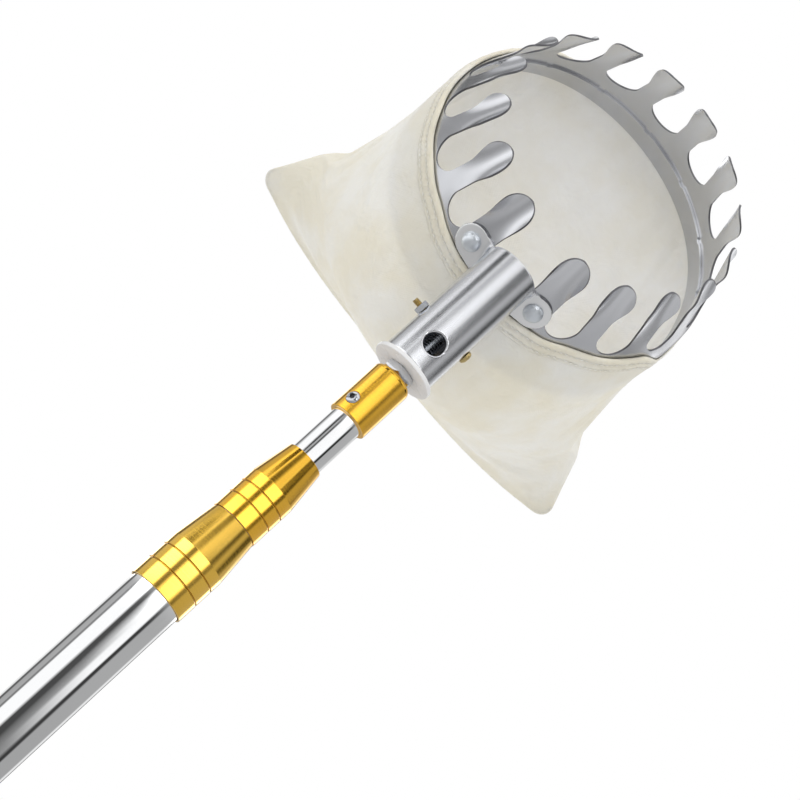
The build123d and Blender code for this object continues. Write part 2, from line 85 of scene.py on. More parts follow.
def noise(tree, place, scale, **more):
    """Noise between 0 and 1 over a place."""
    return add_node(tree, "ShaderNodeTexNoise", {"Vector": place, "Scale": scale, **more}).outputs["Fac"]


def spread(tree, value, low, high, new_low=0.0, new_high=1.0):
    """Value moved from one range to another, and held inside it."""
    ranges = dict(enumerate((value, low, high, new_low, new_high)))
    return add_node(tree, "ShaderNodeMapRange", ranges).outputs[0]


def blend(tree, share, first, second):
    """Mix of two colours, which are values or sockets."""
    ends = [c if isinstance(c, bpy.types.NodeSocket) else (*c, 1.0) for c in (first, second)]
    return add_node(tree, "ShaderNodeMix", {0: share, 6: ends[0], 7: ends[1]}, data_type="RGBA").outputs[2]


def relief_normal(tree, height, strength, distance):
    """Normal of a surface with a relief."""
    links = {"Height": height, "Strength": strength, "Distance": distance}
    return add_node(tree, "ShaderNodeBump", links).outputs["Normal"]


def new_material(name, constants):
    """Material, its tree and its shader, with constants on the shader's own sockets."""
    material = bpy.data.materials.new(name)
    material.use_nodes = True
    shader = material.node_tree.nodes["Principled BSDF"]
    feed(material.node_tree, shader, constants)
    return material, material.node_tree, shader


# Shared effect: streaks and smudges. Noise stretched along one direction makes fine lines, and a
# second, coarse noise makes the soft patches that handling leaves on polished metal.
marks, marks_in, marks_out = new_group(
    "metal_marks",
    {"Stretch": (1.0, 1.0, 1.0), "Smudge Scale": 30.0, "Low": 0.05, "High": 0.12, "Smudge": 0.05},
    ("Roughness", "Lines", "Patches"),
)
marks_place = add_node(marks, "ShaderNodeTexCoord").outputs["Object"]
marks_stretch = add_node(
    marks, "ShaderNodeVectorMath", {0: marks_place, 1: marks_in.outputs["Stretch"]}, operation="MULTIPLY"
)
marks_lines = noise(marks, marks_stretch.outputs[0], 1.0, Detail=3.0)
marks_patches = noise(marks, marks_place, marks_in.outputs["Smudge Scale"], Detail=2.0)
marks_level = spread(marks, marks_lines, 0.3, 0.7, marks_in.outputs["Low"], marks_in.outputs["High"])
marks_smudge = spread(marks, marks_patches, 0.5, 0.75)
marks_rough = computed(marks, "MULTIPLY_ADD", marks_smudge, marks_in.outputs["Smudge"], marks_level)
feed(marks, marks_out, {"Roughness": marks_rough, "Lines": marks_lines, "Patches": marks_patches})


def metal(name, colour, stretch, smudge_scale, rough, smudge, relief, tint):
    """Metal finish whose roughness, relief and colour follow its own streaks and smudges."""
    material, tree, shader = new_material(name, {"Metallic": 1.0})
    settings = {
        "Stretch": stretch,
        "Smudge Scale": smudge_scale,
        "Low": rough[0],
        "High": rough[1],
        "Smudge": smudge,
    }
    wear = add_node(tree, "ShaderNodeGroup", settings, node_tree=marks)
    worn = [c * t for c, t in zip(colour, tint)]
    results = {
        "Base Color": blend(tree, wear.outputs["Patches"], colour, worn),
        "Roughness": wear.outputs["Roughness"],
        "Normal": relief_normal(tree, wear.outputs["Lines"], relief, 0.2 * mm),
    }
    feed(tree, shader, results)
    return material


polished_steel = metal(
    "polished_steel", colour=(0.86, 0.865, 0.87), stretch=(500.0, 500.0, 3.0), smudge_scale=22.0,
    rough=(0.03, 0.055), smudge=0.03, relief=0.008, tint=(0.96, 0.96, 0.965),
)


tiny = 1e-7


def soften(outline, radius, steps=3):
    """Round the corners of a closed (radius, height) outline, and leave the points on the axis."""
    soft = []
    for i, corner in enumerate(outline):
        here = Vector(corner)
        before = Vector(outline[i - 1]) - here
        after = Vector(outline[(i + 1) % len(outline)]) - here
        reach = min(radius, 0.4 * before.length, 0.4 * after.length)
        if here.x < tiny or reach < tiny:
            soft.append(here)
            continue
        start = here + before.normalized() * reach
        end = here + after.normalized() * reach
        for t in [k / steps for k in range(steps + 1)]:
            soft.append((1 - t) ** 2 * start + 2 * t * (1 - t) * here + t**2 * end)
    return soft


def new_object(name, data):
    """Object in the scene."""
    made = bpy.data.objects.new(name, data)
    bpy.context.scene.collection.objects.link(made)
    return made


def write_mesh(shape, mesh, merge):
    """Write a bmesh to a mesh, with its doubles merged, its normals outwards and its faces smooth."""
    bmesh.ops.remove_doubles(shape, verts=shape.verts, dist=merge)
    bmesh.ops.recalc_face_normals(shape, faces=shape.faces)
    for face in shape.faces:
        face.smooth = True
    shape.to_mesh(mesh)
    shape.free()


def mesh_piece(name, points, faces, material, sharp=35.0):
    """Object from points and faces, with its normals outwards and its sharp edges marked."""
    mesh = bpy.data.meshes.new(name)
    mesh.from_pydata(points, [], faces)
    shape = bmesh.new()
    shape.from_mesh(mesh)
    write_mesh(shape, mesh, tiny)
    mesh.set_sharp_from_angle(angle=radians(sharp))
    mesh.materials.append(material)
    return new_object(name, mesh)


def even_normals(piece):
    """Let large faces keep their own normals beside small rounded edges."""
    weighting = piece.modifiers.new("even_normals", "WEIGHTED_NORMAL")
    weighting.keep_sharp = True
    weighting.weight = 80


def lathed(name, outline, segments, material, place=Matrix(), sharp=35.0, shaped=None):
    """Closed (radius, height) outline turned about a place's Z. shaped may change both round the axis."""
    points = []
    rows = []
    for r, z in outline:
        if r < tiny:
            rows.append([len(points)] * segments)
            points.append(place @ Vector((0, 0, z)))
            continue
        rows.append(list(range(len(points), len(points) + segments)))
        for angle in [2 * pi * k / segments for k in range(segments)]:
            reach, level = shaped(r, z, angle) if shaped else (r, z)
            points.append(place @ Vector((reach * cos(angle), reach * sin(angle), level)))
    faces = []
    for i, low in enumerate(rows):
        high = rows[(i + 1) % len(rows)]
        for k in range(segments):
            after = (k + 1) % segments
            corners = [low[k], low[after], high[after], high[k]]
            face = [v for j, v in enumerate(corners) if v != corners[j - 1]]
            if len(set(face)) > 2:
                faces.append(face)
    return mesh_piece(name, points, faces, material, sharp)


def turned(name, outline, material, edge, segments=128):
    """Lathe-turned piece on the pole axis, with softened edges."""
    piece = lathed(name, soften(outline, edge), segments, material)
    even_normals(piece)
    return piece


def ring(bore, reach, low, high):
    """Outline of a plain ring, or of a bar where there is no bore."""
    return [(bore, low), (reach, low), (reach, high), (bore, high)]


def seat(piece, body, slot, *nodes):
    """Let a finished piece ride on its body and stand for its CAD nodes, which are hidden; slot is not used.
    """
    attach(piece, body)
    if nodes:
        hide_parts(*nodes)


for node, body, wall in (
    ("outer_tube", "outer_section", 0.8 * mm),
    ("middle_tube", "middle_section", 0.7 * mm),
    ("top_tube", "top_section", 0.7 * mm),
):
    low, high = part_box(node)
    tube_outline = ring(high.x - wall, high.x, low.z, high.z)
    tube = turned(f"polished_{node}", tube_outline, polished_steel, edge=0.25 * mm, segments=160)
    seat(tube, body, "chrome_tube", node)

# Butt plug and the plastic pieces inside the pole. Moulded in nylon with a fine matt texture; the
# plug's ribs grip the tube, and the bushes guide one tube inside the next.


def moulded(name, colour, rough, grain):
    """Moulded plastic with a fine pebbled skin and a little mottling."""
    material, tree, shader = new_material(name, {"Specular IOR Level": 0.4})
    place = add_node(tree, "ShaderNodeTexCoord").outputs["Object"]
    mottle = noise(tree, place, 90.0)
    results = {
        "Base Color": blend(tree, mottle, colour, [0.8 * c for c in colour]),
        "Roughness": spread(tree, mottle, 0.3, 0.7, rough - 0.06, rough + 0.08),
        "Normal": relief_normal(tree, noise(tree, place, grain, Detail=2.0), 0.15, 0.2 * mm),
    }
    feed(tree, shader, results)
    return material


black_nylon = moulded("black_nylon", (0.028, 0.028, 0.03), 0.48, 1800.0)
white_nylon = moulded("white_nylon", (0.72, 0.72, 0.69), 0.42, 1800.0)
for plastic, nodes in (
    (black_nylon, ("lower_lock_base", "middle_guide_bush", "upper_lock_base", "top_guide_bush")),
    (white_nylon, ("lower_lock_collet", "upper_lock_collet")),
):
    for node in nodes:
        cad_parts[node].data.materials.clear()
        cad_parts[node].data.materials.append(plastic)

plug_low, plug_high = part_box("butt_plug")
plug_bore = 9.25 * mm
plug_spigot = 11.2 * mm
plug_rib = 11.6 * mm
plug_rib_pitch = 5 * mm
plug_rib_height = 0.4 * mm
dimple_depth = 0.6 * mm
dimple_floor = 4.5 * mm
dimple_rim = 5.2 * mm
plug_outline = [
    (0, plug_low.z + dimple_depth), (dimple_floor, plug_low.z + dimple_depth), (dimple_rim, plug_low.z),
    (plug_high.x, plug_low.z), (plug_high.x, 0), (plug_spigot, 0),
]
for rib in range(1, 4):
    plug_outline += ring(plug_spigot, plug_rib, rib * plug_rib_pitch, rib * plug_rib_pitch + plug_rib_height)
plug_outline += [(plug_spigot, plug_high.z), (plug_bore, plug_high.z), (plug_bore, 0), (0, 0)]
butt_plug = turned("moulded_butt_plug", plug_outline, black_nylon, edge=0.9 * mm, segments=96)
seat(butt_plug, "outer_section", "black_plastic", "butt_plug")

# Twist lock nuts. Turned from aluminium bar, with grooves that part the grip into bands and a cone
# towards the next tube; anodised gold, with the lathe's fine rings still showing under the colour.


def painted(tree, name):
    """Value that a mesh attribute holds."""
    return add_node(tree, "ShaderNodeAttribute", attribute_name=name).outputs["Fac"]


def paint(piece, name, values):
    """Give every point of a piece its value of a mesh attribute."""
    piece.data.attributes.new(name, "FLOAT", "POINT").data.foreach_set("value", values)


def tone_where(material, name, colour):
    """Mix a colour into a metal's own where a mesh attribute asks for it, and return the share."""
    tree = material.node_tree
    base = tree.nodes["Principled BSDF"].inputs["Base Color"]
    share = painted(tree, name)
    tree.links.new(blend(tree, share, base.links[0].from_socket, colour), base)
    return share


def anodised(name, colour):
    """Gold-dyed aluminium with turning rings, a clear sealed skin and painted shade in the grooves."""
    material = metal(
        name, colour, stretch=(5.0, 5.0, 1500.0), smudge_scale=60.0, rough=(0.10, 0.18), smudge=0.04,
        relief=0.004, tint=(0.97, 0.92, 0.80),
    )
    shader = material.node_tree.nodes["Principled BSDF"]
    feed(material.node_tree, shader, {"Coat Weight": 0.4, "Coat Roughness": 0.06})
    tone_where(material, "groove_shade", (0.55, 0.29, 0.015))
    return material


gold_anodised = anodised("gold_anodised", (0.95, 0.545, 0.05))
paler_gold = anodised("paler_gold", (0.94, 0.595, 0.09))
groove_depth = 0.5 * mm
groove_half = 0.34 * mm
groove_skin = 0.2 * mm
nut_lip = 0.9 * mm
nut_shoulder = 1.7 * mm
nut_neck = 12 * mm
nut_taper = 18 * mm


def lock_nut(name, node, body, finish, bands, skirt_bore, neck_bore, mouth_bore, tube):
    """Banded nut with grooves, a cone to its mouth, and bores that step in above a tube's end."""
    low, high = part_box(node)
    grip = high.x
    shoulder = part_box(tube)[1].z + nut_shoulder
    grooves = [low.z + sum(bands[: k + 1]) * mm for k in range(len(bands) - 1)]
    outline = [(skirt_bore, low.z), (grip, low.z)]
    for level in grooves:
        outline += ring(grip, grip - groove_depth, level - groove_half, level + groove_half)
    outline += [
        (grip, low.z + sum(bands) * mm),
        (mouth_bore + nut_lip, high.z),
        (mouth_bore, high.z),
        (mouth_bore, shoulder + nut_taper),
        (neck_bore, shoulder + nut_neck),
        (neck_bore, shoulder),
        (skirt_bore, shoulder),
    ]
    nut = turned(name, outline, finish, edge=0.14 * mm, segments=160)
    # The grooves' sunken faces are painted darker: painted shade in the recesses.
    painted_shade = []
    for vertex in nut.data.vertices:
        sunk = groove_skin < grip - vertex.co.xy.length < groove_depth + groove_skin
        off = min(abs(vertex.co.z - level) for level in grooves)
        painted_shade.append(1.0 if sunk and off < 1.1 * groove_half else 0.0)
    paint(nut, "groove_shade", painted_shade)
    seat(nut, body, "gold_aluminium", node)


lock_nut(
    "gold_lower_nut", "lower_lock_nut", "lower_lock", paler_gold, bands=(9.0, 8.0, 5.4),
    skirt_bore=12.8 * mm, neck_bore=12.1 * mm, mouth_bore=10.3 * mm, tube="outer_tube",
)
lock_nut(
    "gold_upper_nut", "upper_lock_nut", "upper_lock", gold_anodised, bands=(8.3, 6.7, 6.0),
    skirt_bore=10.3 * mm, neck_bore=9.6 * mm, mouth_bore=7.8 * mm, tube="middle_tube",
)

# Gold connector on the top tube. Turned from the same gold aluminium, bored from below for the
# tube and from above for the stud, with a counterbored hole for its button-head screw.


def settled_mesh(piece):
    """New mesh of a piece as its modifiers shape it; the modifiers are then removed."""
    bpy.context.view_layer.update()
    graph = bpy.context.evaluated_depsgraph_get()
    mesh = bpy.data.meshes.new_from_object(piece.evaluated_get(graph))
    piece.modifiers.clear()
    return mesh


def cut(piece, cutters):
    """Cut other pieces out of a piece, keep the result and remove the cutters."""
    for cutter in cutters:
        boolean = piece.modifiers.new("cut", "BOOLEAN")
        boolean.operation = "DIFFERENCE"
        boolean.solver = "EXACT"
        boolean.object = cutter
    whole = piece.data
    piece.data = settled_mesh(piece)
    piece.data.set_sharp_from_angle(angle=radians(35))
    bpy.data.meshes.remove(whole)
    for cutter in cutters:
        bpy.data.objects.remove(cutter)


def aim(direction, origin):
    """Matrix whose z axis points along a direction from an origin."""
    turn = Vector((0, 0, 1)).rotation_difference(Vector(direction)).to_matrix().to_4x4()
    return Matrix.Translation(origin) @ turn


def drill(name, radius, length, origin):
    """Round bar along the connector's screw, to be cut out."""
    return lathed(name, ring(0, radius, 0, length), 64, gold_anodised, aim(screw_way, origin))


connector_low, connector_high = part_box("tip_connector")
connector_reach = 9.35 * mm
connector_bore = 7.55 * mm
connector_stud_bore = 4.08 * mm
connector_round = 2.2 * mm
connector_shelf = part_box("top_tube")[1].z + 0.05 * mm
connector_outline = [(connector_bore, connector_low.z), (connector_reach, connector_low.z)]
for a in range(0, 91, 15):
    inwards = connector_round * (1 - cos(radians(a)))
    down = connector_round * (1 - sin(radians(a)))
    connector_outline.append((connector_reach - inwards, connector_high.z - down))
connector_outline += [
    (connector_stud_bore, connector_high.z),
    (connector_stud_bore, connector_shelf),
    (connector_bore, connector_shelf),
]
connector = lathed("gold_connector", soften(connector_outline, 0.3 * mm), 160, gold_anodised)
screw_angle = radians(42.0)
screw_way = Vector((-sin(screw_angle), -cos(screw_angle), 0))
screw_height = connector_low.z + 6.6 * mm
screw_sink = 0.9 * mm
screw_seat = screw_way * (connector_reach - screw_sink) + Vector((0, 0, screw_height))
hole_end = screw_seat - screw_way * 6 * mm
counterbore = drill("counterbore", radius=3.15 * mm, length=4 * mm, origin=screw_seat)
screw_hole = drill("screw_hole", radius=1.6 * mm, length=8 * mm, origin=hole_end)
cut(connector, [counterbore, screw_hole])
even_normals(connector)
seat(connector, "top_section", "gold_aluminium", "tip_connector")

# Small fasteners. The button-head screw, the stud and the nuts are steel with bright zinc plate, a
# bluish skin with faint spangle; the threads are rolled, so their crests are rounded.
zinc_plate = metal(
    "zinc_plate", colour=(0.68, 0.70, 0.73), stretch=(260.0, 260.0, 260.0), smudge_scale=140.0,
    rough=(0.09, 0.15), smudge=0.06, relief=0.015, tint=(0.88, 0.89, 0.91),
)
# A dark metal that paints the crown's cut rims dark and stands for the shade inside the screw's socket.
dark_rim_and_socket_shade = metal(
    "dark_rim_and_socket_shade", colour=(0.20, 0.20, 0.21), stretch=(600.0, 600.0, 600.0), smudge_scale=90.0,
    rough=(0.35, 0.5), smudge=0.08, relief=0.02, tint=(0.7, 0.7, 0.72),
)
hex_sides = 6


def hex_reach(flats, angle):
    """Distance from a hexagon's centre to its side at an angle."""
    sector = 2 * pi / hex_sides
    return flats / 2 / cos((angle + sector / 2) % sector - sector / 2)


def dome(reach, foot, top, angles):
    """Rounded stretch of an outline, from its reach at the foot to the axis at the top."""
    return [(reach * cos(radians(a)), foot + (top - foot) * sin(radians(a))) for a in angles]


shank_reach = 1.5 * mm
shank_end = -4.5 * mm
shank_bevel = 0.4 * mm
head_reach = 3.0 * mm
head_height = 1.9 * mm
key_half = 1.2 * mm
key_floor = head_height - 1.5 * mm
screw_outline = [
    (0, shank_end),
    (shank_reach - 0.3 * mm, shank_end),
    (shank_reach, shank_end + shank_bevel),
    (shank_reach, 0),
    (0.96 * head_reach, 0),
    *dome(head_reach, 0.25 * head_height, head_height, range(0, 64, 9)),
    (1.2 * key_half, head_height),
    (key_half, head_height - 0.12 * mm),
    (key_half, key_floor),
    (0, key_floor - 0.3 * mm),
]


def key_socket(r, z, angle):
    """Hexagonal in the screw's socket and round outside it."""
    in_socket = z > 0 and r <= key_half + tiny
    reach = hex_reach(2 * r, angle) if in_socket else r
    return reach, z


screw_place = aim(screw_way, screw_seat + screw_way * 0.05 * mm)
tip_screw = lathed("button_screw", screw_outline, 72, zinc_plate, screw_place, 40, key_socket)
# The faces inside the hex socket take the dark metal: painted shade in the socket.
tip_screw.data.materials.append(dark_rim_and_socket_shade)
screw_back = screw_place.inverted()
for face in tip_screw.data.polygons:
    spots = [screw_back @ tip_screw.data.vertices[v].co for v in face.vertices]
    if all(p.z > 0.2 * mm and p.xy.length < 1.2 * key_half for p in spots):
        face.material_index = 1
seat(tip_screw, "top_section", "zinc_steel", "tip_screw")


def grid_faces(rows, columns, closed=False, first=0):
    """Faces of a grid of points listed row by row from the first, closed round its columns if asked."""
    faces = []
    for i in range(rows - 1):
        row = first + i * columns
        for j in range(columns if closed else columns - 1):
            here, after = row + j, row + (j + 1) % columns
            faces.append((here, after, after + columns, here + columns))
    return faces


def threaded_bar(name, radius, pitch, length, place, material, segments=48):
    """Bar with a rolled thread, bevelled at both ends."""
    per_turn = 8
    depth = 0.6 * pitch
    rows = int(length / pitch * per_turn)
    points = []
    for z in [length * i / rows for i in range(rows + 1)]:
        fade = min(1.0, z / pitch, (length - z) / pitch)
        for k in range(segments):
            angle = 2 * pi * k / segments
            wave = 0.5 - 0.5 * cos(2 * pi * z / pitch - angle)
            reach = radius - depth * wave**0.8 - (1 - fade) * 0.5 * depth
            points.append(place @ Vector((reach * cos(angle), reach * sin(angle), z)))
    faces = grid_faces(rows + 1, segments, closed=True)
    faces.append(tuple(reversed(range(segments))))
    faces.append(tuple(range(rows * segments, (rows + 1) * segments)))
    return mesh_piece(name, points, faces, material, 60)


def hex_nut(name, flats, height, bore, place):
    """Zinc-plated hexagon nut: flats with arched chamfers at both ends and a countersunk bore."""
    chamfer = 0.49 * flats
    countersink = 0.6 * mm if bore > 2 * mm else 0.3 * mm

    def arched(r, z, angle):
        """Hexagonal outside the chamfer, and lower where the hexagon reaches further."""
        if r <= chamfer:
            return r, z
        side = hex_reach(2 * r, angle)
        drop = (side - chamfer) * tan(radians(30))
        level = drop if z == 0 else z - drop
        return side, level

    half = [(bore, countersink), (1.1 * bore, 0), (chamfer, 0), (flats / 2, 0)]
    outline = half + [(r, height - z) for r, z in reversed(half)]
    return lathed(name, outline, 16 * hex_sides, zinc_plate, place, 25, arched)


stud_low, stud_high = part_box("head_stud")
stud_radius = 4.0 * mm
stud_pitch = 1.25 * mm
stud_hole = 4.05 * mm
stud_length = stud_high.z - stud_low.z
stud_place = Matrix.Translation((0, 0, stud_low.z))
stud = threaded_bar("threaded_stud", stud_radius, stud_pitch, stud_length, stud_place, zinc_plate)
seat(stud, "head", "zinc_steel", "head_stud")
nut_flats = 13.0 * mm
nut_turn = Matrix.Rotation(radians(-13.0), 4, "Z")
for node in ("jam_nut", "inner_nut"):
    low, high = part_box(node)
    nut_place = Matrix.Translation((0, 0, low.z)) @ nut_turn
    stud_nut = hex_nut(f"zinc_{node}", nut_flats, high.z - low.z, stud_hole, nut_place)
    seat(stud_nut, "head", "zinc_steel", node)

# End disc under the socket tube. A moulded washer of pale plastic that closes the tube's end,
# clamped between the jam nut and the nut inside.
pale_plastic = moulded("pale_plastic", (0.82, 0.82, 0.82), 0.28, 900.0)
disc_low, disc_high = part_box("end_disc")
disc_outline = ring(stud_hole, disc_high.x, disc_low.z, disc_high.z)
end_disc = turned("pale_end_disc", disc_outline, pale_plastic, edge=0.5 * mm)
seat(end_disc, "head", "pale_plastic", "end_disc")

# Crown. Sheet steel pressed into a cone that leans inwards by 20 degrees, with sixteen fingers cut
# into its upper edge and curled to troughs; tumbled, then plated in satin nickel.
crown_tilt = radians(70.0)
crown_lean = radians(20.0)
crown_radius = 85.0 * mm
crown_sheet = 0.95 * mm
crown_centre = Vector((0, 63.71 * mm, 809.23 * mm))
crown_axis = Vector((0, -sin(crown_tilt), cos(crown_tilt)))
crown_back = Vector((0, cos(crown_tilt), sin(crown_tilt)))
crown_axes = Matrix(((1, 0, 0), (0, crown_back.y, crown_axis.y), (0, crown_back.z, crown_axis.z)))
crown_place = Matrix.Translation(crown_centre) @ crown_axes.to_4x4()
finger_count = 16
bracket_pitch = radians(31.2)
finger_pitch = (2 * pi - bracket_pitch) / (finger_count - 1)
gap_foot = 27.6 * mm
neck_half = 5.1 * mm
neck_top = 45.0 * mm
paddle_half = 7.8 * mm
root_neck_half = 7.0 * mm
root_paddle_half = 8.2 * mm
paddle_slant = 58.0 * mm
tip_slant = 66.8 * mm
trough_radius = 11.0 * mm
trough_start = gap_foot + 2 * mm
trough_full = paddle_slant + 2 * mm
satin_nickel = metal(
    "satin_nickel", colour=(0.60, 0.61, 0.635), stretch=(320.0, 320.0, 320.0), smudge_scale=40.0,
    rough=(0.21, 0.25), smudge=0.03, relief=0.003, tint=(0.88, 0.88, 0.89),
)
# Painted light: the nickel is painted paler towards the fingers' tips and darker at their roots.
tone_where(satin_nickel, "painted_tip_light", (0.71, 0.72, 0.75))


def wall_radius(slant):
    """Radius of the crown wall's outside at a way up the wall."""
    return crown_radius - slant * sin(crown_lean)


def wall_point(angle, slant, depth):
    """Point on the crown wall in the crown's own axes: angle from the bracket, way up, way out."""
    reach = wall_radius(slant) + depth * cos(crown_lean)
    level = slant * cos(crown_lean) + depth * sin(crown_lean)
    return Vector((reach * sin(angle), -reach * cos(angle), level))


def ease(low, high, value):
    """Smooth step from 0 to 1."""
    t = min(1.0, max(0.0, (value - low) / (high - low)))
    return t * t * (3 - 2 * t)


def arch_height(neck):
    """Height of the round foot of the gap beside a finger's neck."""
    return wall_radius(gap_foot + neck) * finger_pitch / 2 - neck


def finger_half_width(slant, neck, paddle):
    """Half the width of the metal in one finger's share of the crown, at a way up the wall."""
    share = wall_radius(slant) * finger_pitch / 2
    arch = arch_height(neck)
    if slant <= gap_foot:
        return share
    if slant < gap_foot + arch:
        return max(neck, share - sqrt(max(0.0, arch**2 - (arch - slant + gap_foot) ** 2)))
    if slant < paddle_slant:
        return neck + (paddle - neck) * ease(neck_top, paddle_slant, slant)
    return paddle * sqrt(max(0.0, 1 - ((slant - paddle_slant) / (tip_slant - paddle_slant)) ** 2))


def finger_point(across, slant):
    """Point of a finger's sheet: on the cone at its root, curled into a trough towards its tip."""
    middle = -crown_sheet / 2
    on_cone = wall_point(across / wall_radius(slant), slant, middle)
    curl = across / trough_radius
    rise = trough_radius * (1 - cos(curl))
    in_trough = wall_point(0, slant, middle + rise) + Vector((trough_radius * sin(curl), 0, 0))
    return on_cone.lerp(in_trough, ease(trough_start, trough_full, slant))


def set_out_tree():
    """Geometry nodes that place a shape at every point, turned by the point's own angles."""
    tree = bpy.data.node_groups.new("set_out", "GeometryNodeTree")
    kinds = {"Geometry": "Geometry", "Shape": "Object", "Weld": "Float", "Finish": "Material"}
    for label, kind in kinds.items():
        tree.interface.new_socket(label, in_out="INPUT", socket_type="NodeSocket" + kind)
    tree.interface.new_socket("Geometry", in_out="OUTPUT", socket_type="NodeSocketGeometry")
    start = tree.nodes.new("NodeGroupInput").outputs
    shape = add_node(tree, "GeometryNodeObjectInfo", {"Object": start["Shape"]})
    turn = add_node(tree, "GeometryNodeInputNamedAttribute", {"Name": "turn"}, data_type="FLOAT_VECTOR")
    links = {
        "Points": start["Geometry"],
        "Instance": shape.outputs["Geometry"],
        "Rotation": turn.outputs["Attribute"],
    }
    placed = add_node(tree, "GeometryNodeInstanceOnPoints", links)
    solid = add_node(tree, "GeometryNodeRealizeInstances", {"Geometry": placed.outputs["Instances"]})
    links = {"Geometry": solid.outputs["Geometry"], "Distance": start["Weld"]}
    welded = add_node(tree, "GeometryNodeMergeByDistance", links)
    links = {"Geometry": welded.outputs["Geometry"], "Material": start["Finish"]}
    finish = add_node(tree, "GeometryNodeSetMaterial", links)
    add_node(tree, "NodeGroupOutput", {"Geometry": finish.outputs["Geometry"]})
    return tree


set_out = set_out_tree()


def repeated(name, shape, spots, turns, material, weld=0.0):
    """One piece of a shape set out at every spot, turned by Euler angles; the shape itself is removed."""
    mesh = bpy.data.meshes.new(name + "_spots")
    mesh.from_pydata([tuple(s) for s in spots], [], [])
    turn = mesh.attributes.new("turn", "FLOAT_VECTOR", "POINT")
    turn.data.foreach_set("vector", [c for t in turns for c in t])
    carrier = new_object(name + "_spots", mesh)
    layout = carrier.modifiers.new("set_out", "NODES")
    layout.node_group = set_out
    values = {"Shape": shape, "Weld": weld, "Finish": material}
    for item in set_out.interface.items_tree:
        if item.in_out == "INPUT" and item.name in values:
            layout[item.identifier] = values[item.name]
    result = settled_mesh(carrier)
    bpy.data.objects.remove(carrier)
    bpy.data.objects.remove(shape)
    if "turn" in result.attributes:
        result.attributes.remove(result.attributes["turn"])
    result.name = name
    return new_object(name, result)


band_rows = 12
arch_rows = 12
finger_rows = 26
finger_columns = 21
gap_arch = arch_height(neck_half)
arch_top = gap_foot + gap_arch
free_length = tip_slant - arch_top
finger_slants = [gap_foot * i / band_rows for i in range(band_rows)]
finger_slants += [gap_foot + gap_arch * (1 - cos(pi / 2 * i / arch_rows)) for i in range(arch_rows)]
finger_slants += [arch_top + free_length * sin(pi / 2 * i / finger_rows) for i in range(finger_rows + 1)]


def finger_set(name, neck, paddle, turns):
    """Sheets of some fingers, each with its share of the band."""
    sides = [2 * j / (finger_columns - 1) - 1 for j in range(finger_columns)]
    points = []
    for slant in finger_slants:
        half = finger_half_width(slant, neck, paddle)
        points += [finger_point(half * side, slant) for side in sides]
    faces = grid_faces(len(finger_slants), finger_columns)
    shape = mesh_piece(name + "_shape", points, faces, satin_nickel, sharp=180)
    return repeated(name, shape, [(0, 0, 0)] * len(turns), turns, satin_nickel, weld=0.02 * mm)


finger_turns = [(0, 0, bracket_pitch / 2 + finger_pitch * k) for k in range(finger_count)]
crown = finger_set("satin_crown", neck_half, paddle_half, finger_turns[1:-1])
root_turns = [finger_turns[0], finger_turns[-1]]
root_fingers = finger_set("root_fingers", root_neck_half, root_paddle_half, root_turns)

# The stretch of plain band behind the socket tube, between the first finger's share and the last's.
plain_half = bracket_pitch / 2 - finger_pitch / 2
plain_columns = 9
crown_shape = bmesh.new()
crown_shape.from_mesh(crown.data)
crown_shape.from_mesh(root_fingers.data)
bpy.data.objects.remove(root_fingers)
plain_verts = []
for i in range(band_rows + 1):
    for j in range(plain_columns):
        angle = plain_half * (2 * j / (plain_columns - 1) - 1)
        spot = wall_point(angle, gap_foot * i / band_rows, -crown_sheet / 2)
        plain_verts.append(crown_shape.verts.new(spot))
for face in grid_faces(band_rows + 1, plain_columns):
    crown_shape.faces.new([plain_verts[k] for k in face])
write_mesh(crown_shape, crown.data, 0.05 * mm)

# The band's lower edge is pinched a little oval, and painted light makes the fingers paler towards their
# tips.
pinch_top = 24.0 * mm
pinch_share = 0.078


def pinched(point, slant):
    """Point of the crown's wall drawn in at the sides, the more the lower it lies."""
    low = min(1.0, max(0.0, 1 - slant / pinch_top))
    side = abs(point.x) / point.xy.length
    return Vector((point.x * (1 - pinch_share * low**1.3 * side**3), point.y, point.z))


tip_light = []
for vertex in crown.data.vertices:
    over = vertex.co.xy.length - crown_radius
    slant = vertex.co.z * cos(crown_lean) - over * sin(crown_lean)
    tip_light.append(ease(gap_foot, tip_slant, slant))
    vertex.co = pinched(vertex.co, slant)
paint(crown, "painted_tip_light", tip_light)
crown.data.transform(crown_place)


def sheet_metal(piece, thickness, edge, rim):
    """Give a sheet its thickness on both sides, tumbled edges, and a painted colour on its cut rim."""
    wall = piece.modifiers.new("sheet", "SOLIDIFY")
    wall.thickness = thickness
    wall.offset = 0.0
    wall.use_even_offset = True
    wall.use_quality_normals = True
    wall.material_offset_rim = 1
    piece.data.materials.append(rim)
    rounding = piece.modifiers.new("tumbled_edges", "BEVEL")
    rounding.width = edge
    rounding.segments = 2
    rounding.limit_method = "ANGLE"
    rounding.angle_limit = radians(50)
    even_normals(piece)


# Its cut rim takes the dark metal, which paints a dark outline round every finger.
sheet_metal(crown, crown_sheet, 0.2 * mm, dark_rim_and_socket_shade)
seat(crown, "head", "satin_steel", "crown_ring")

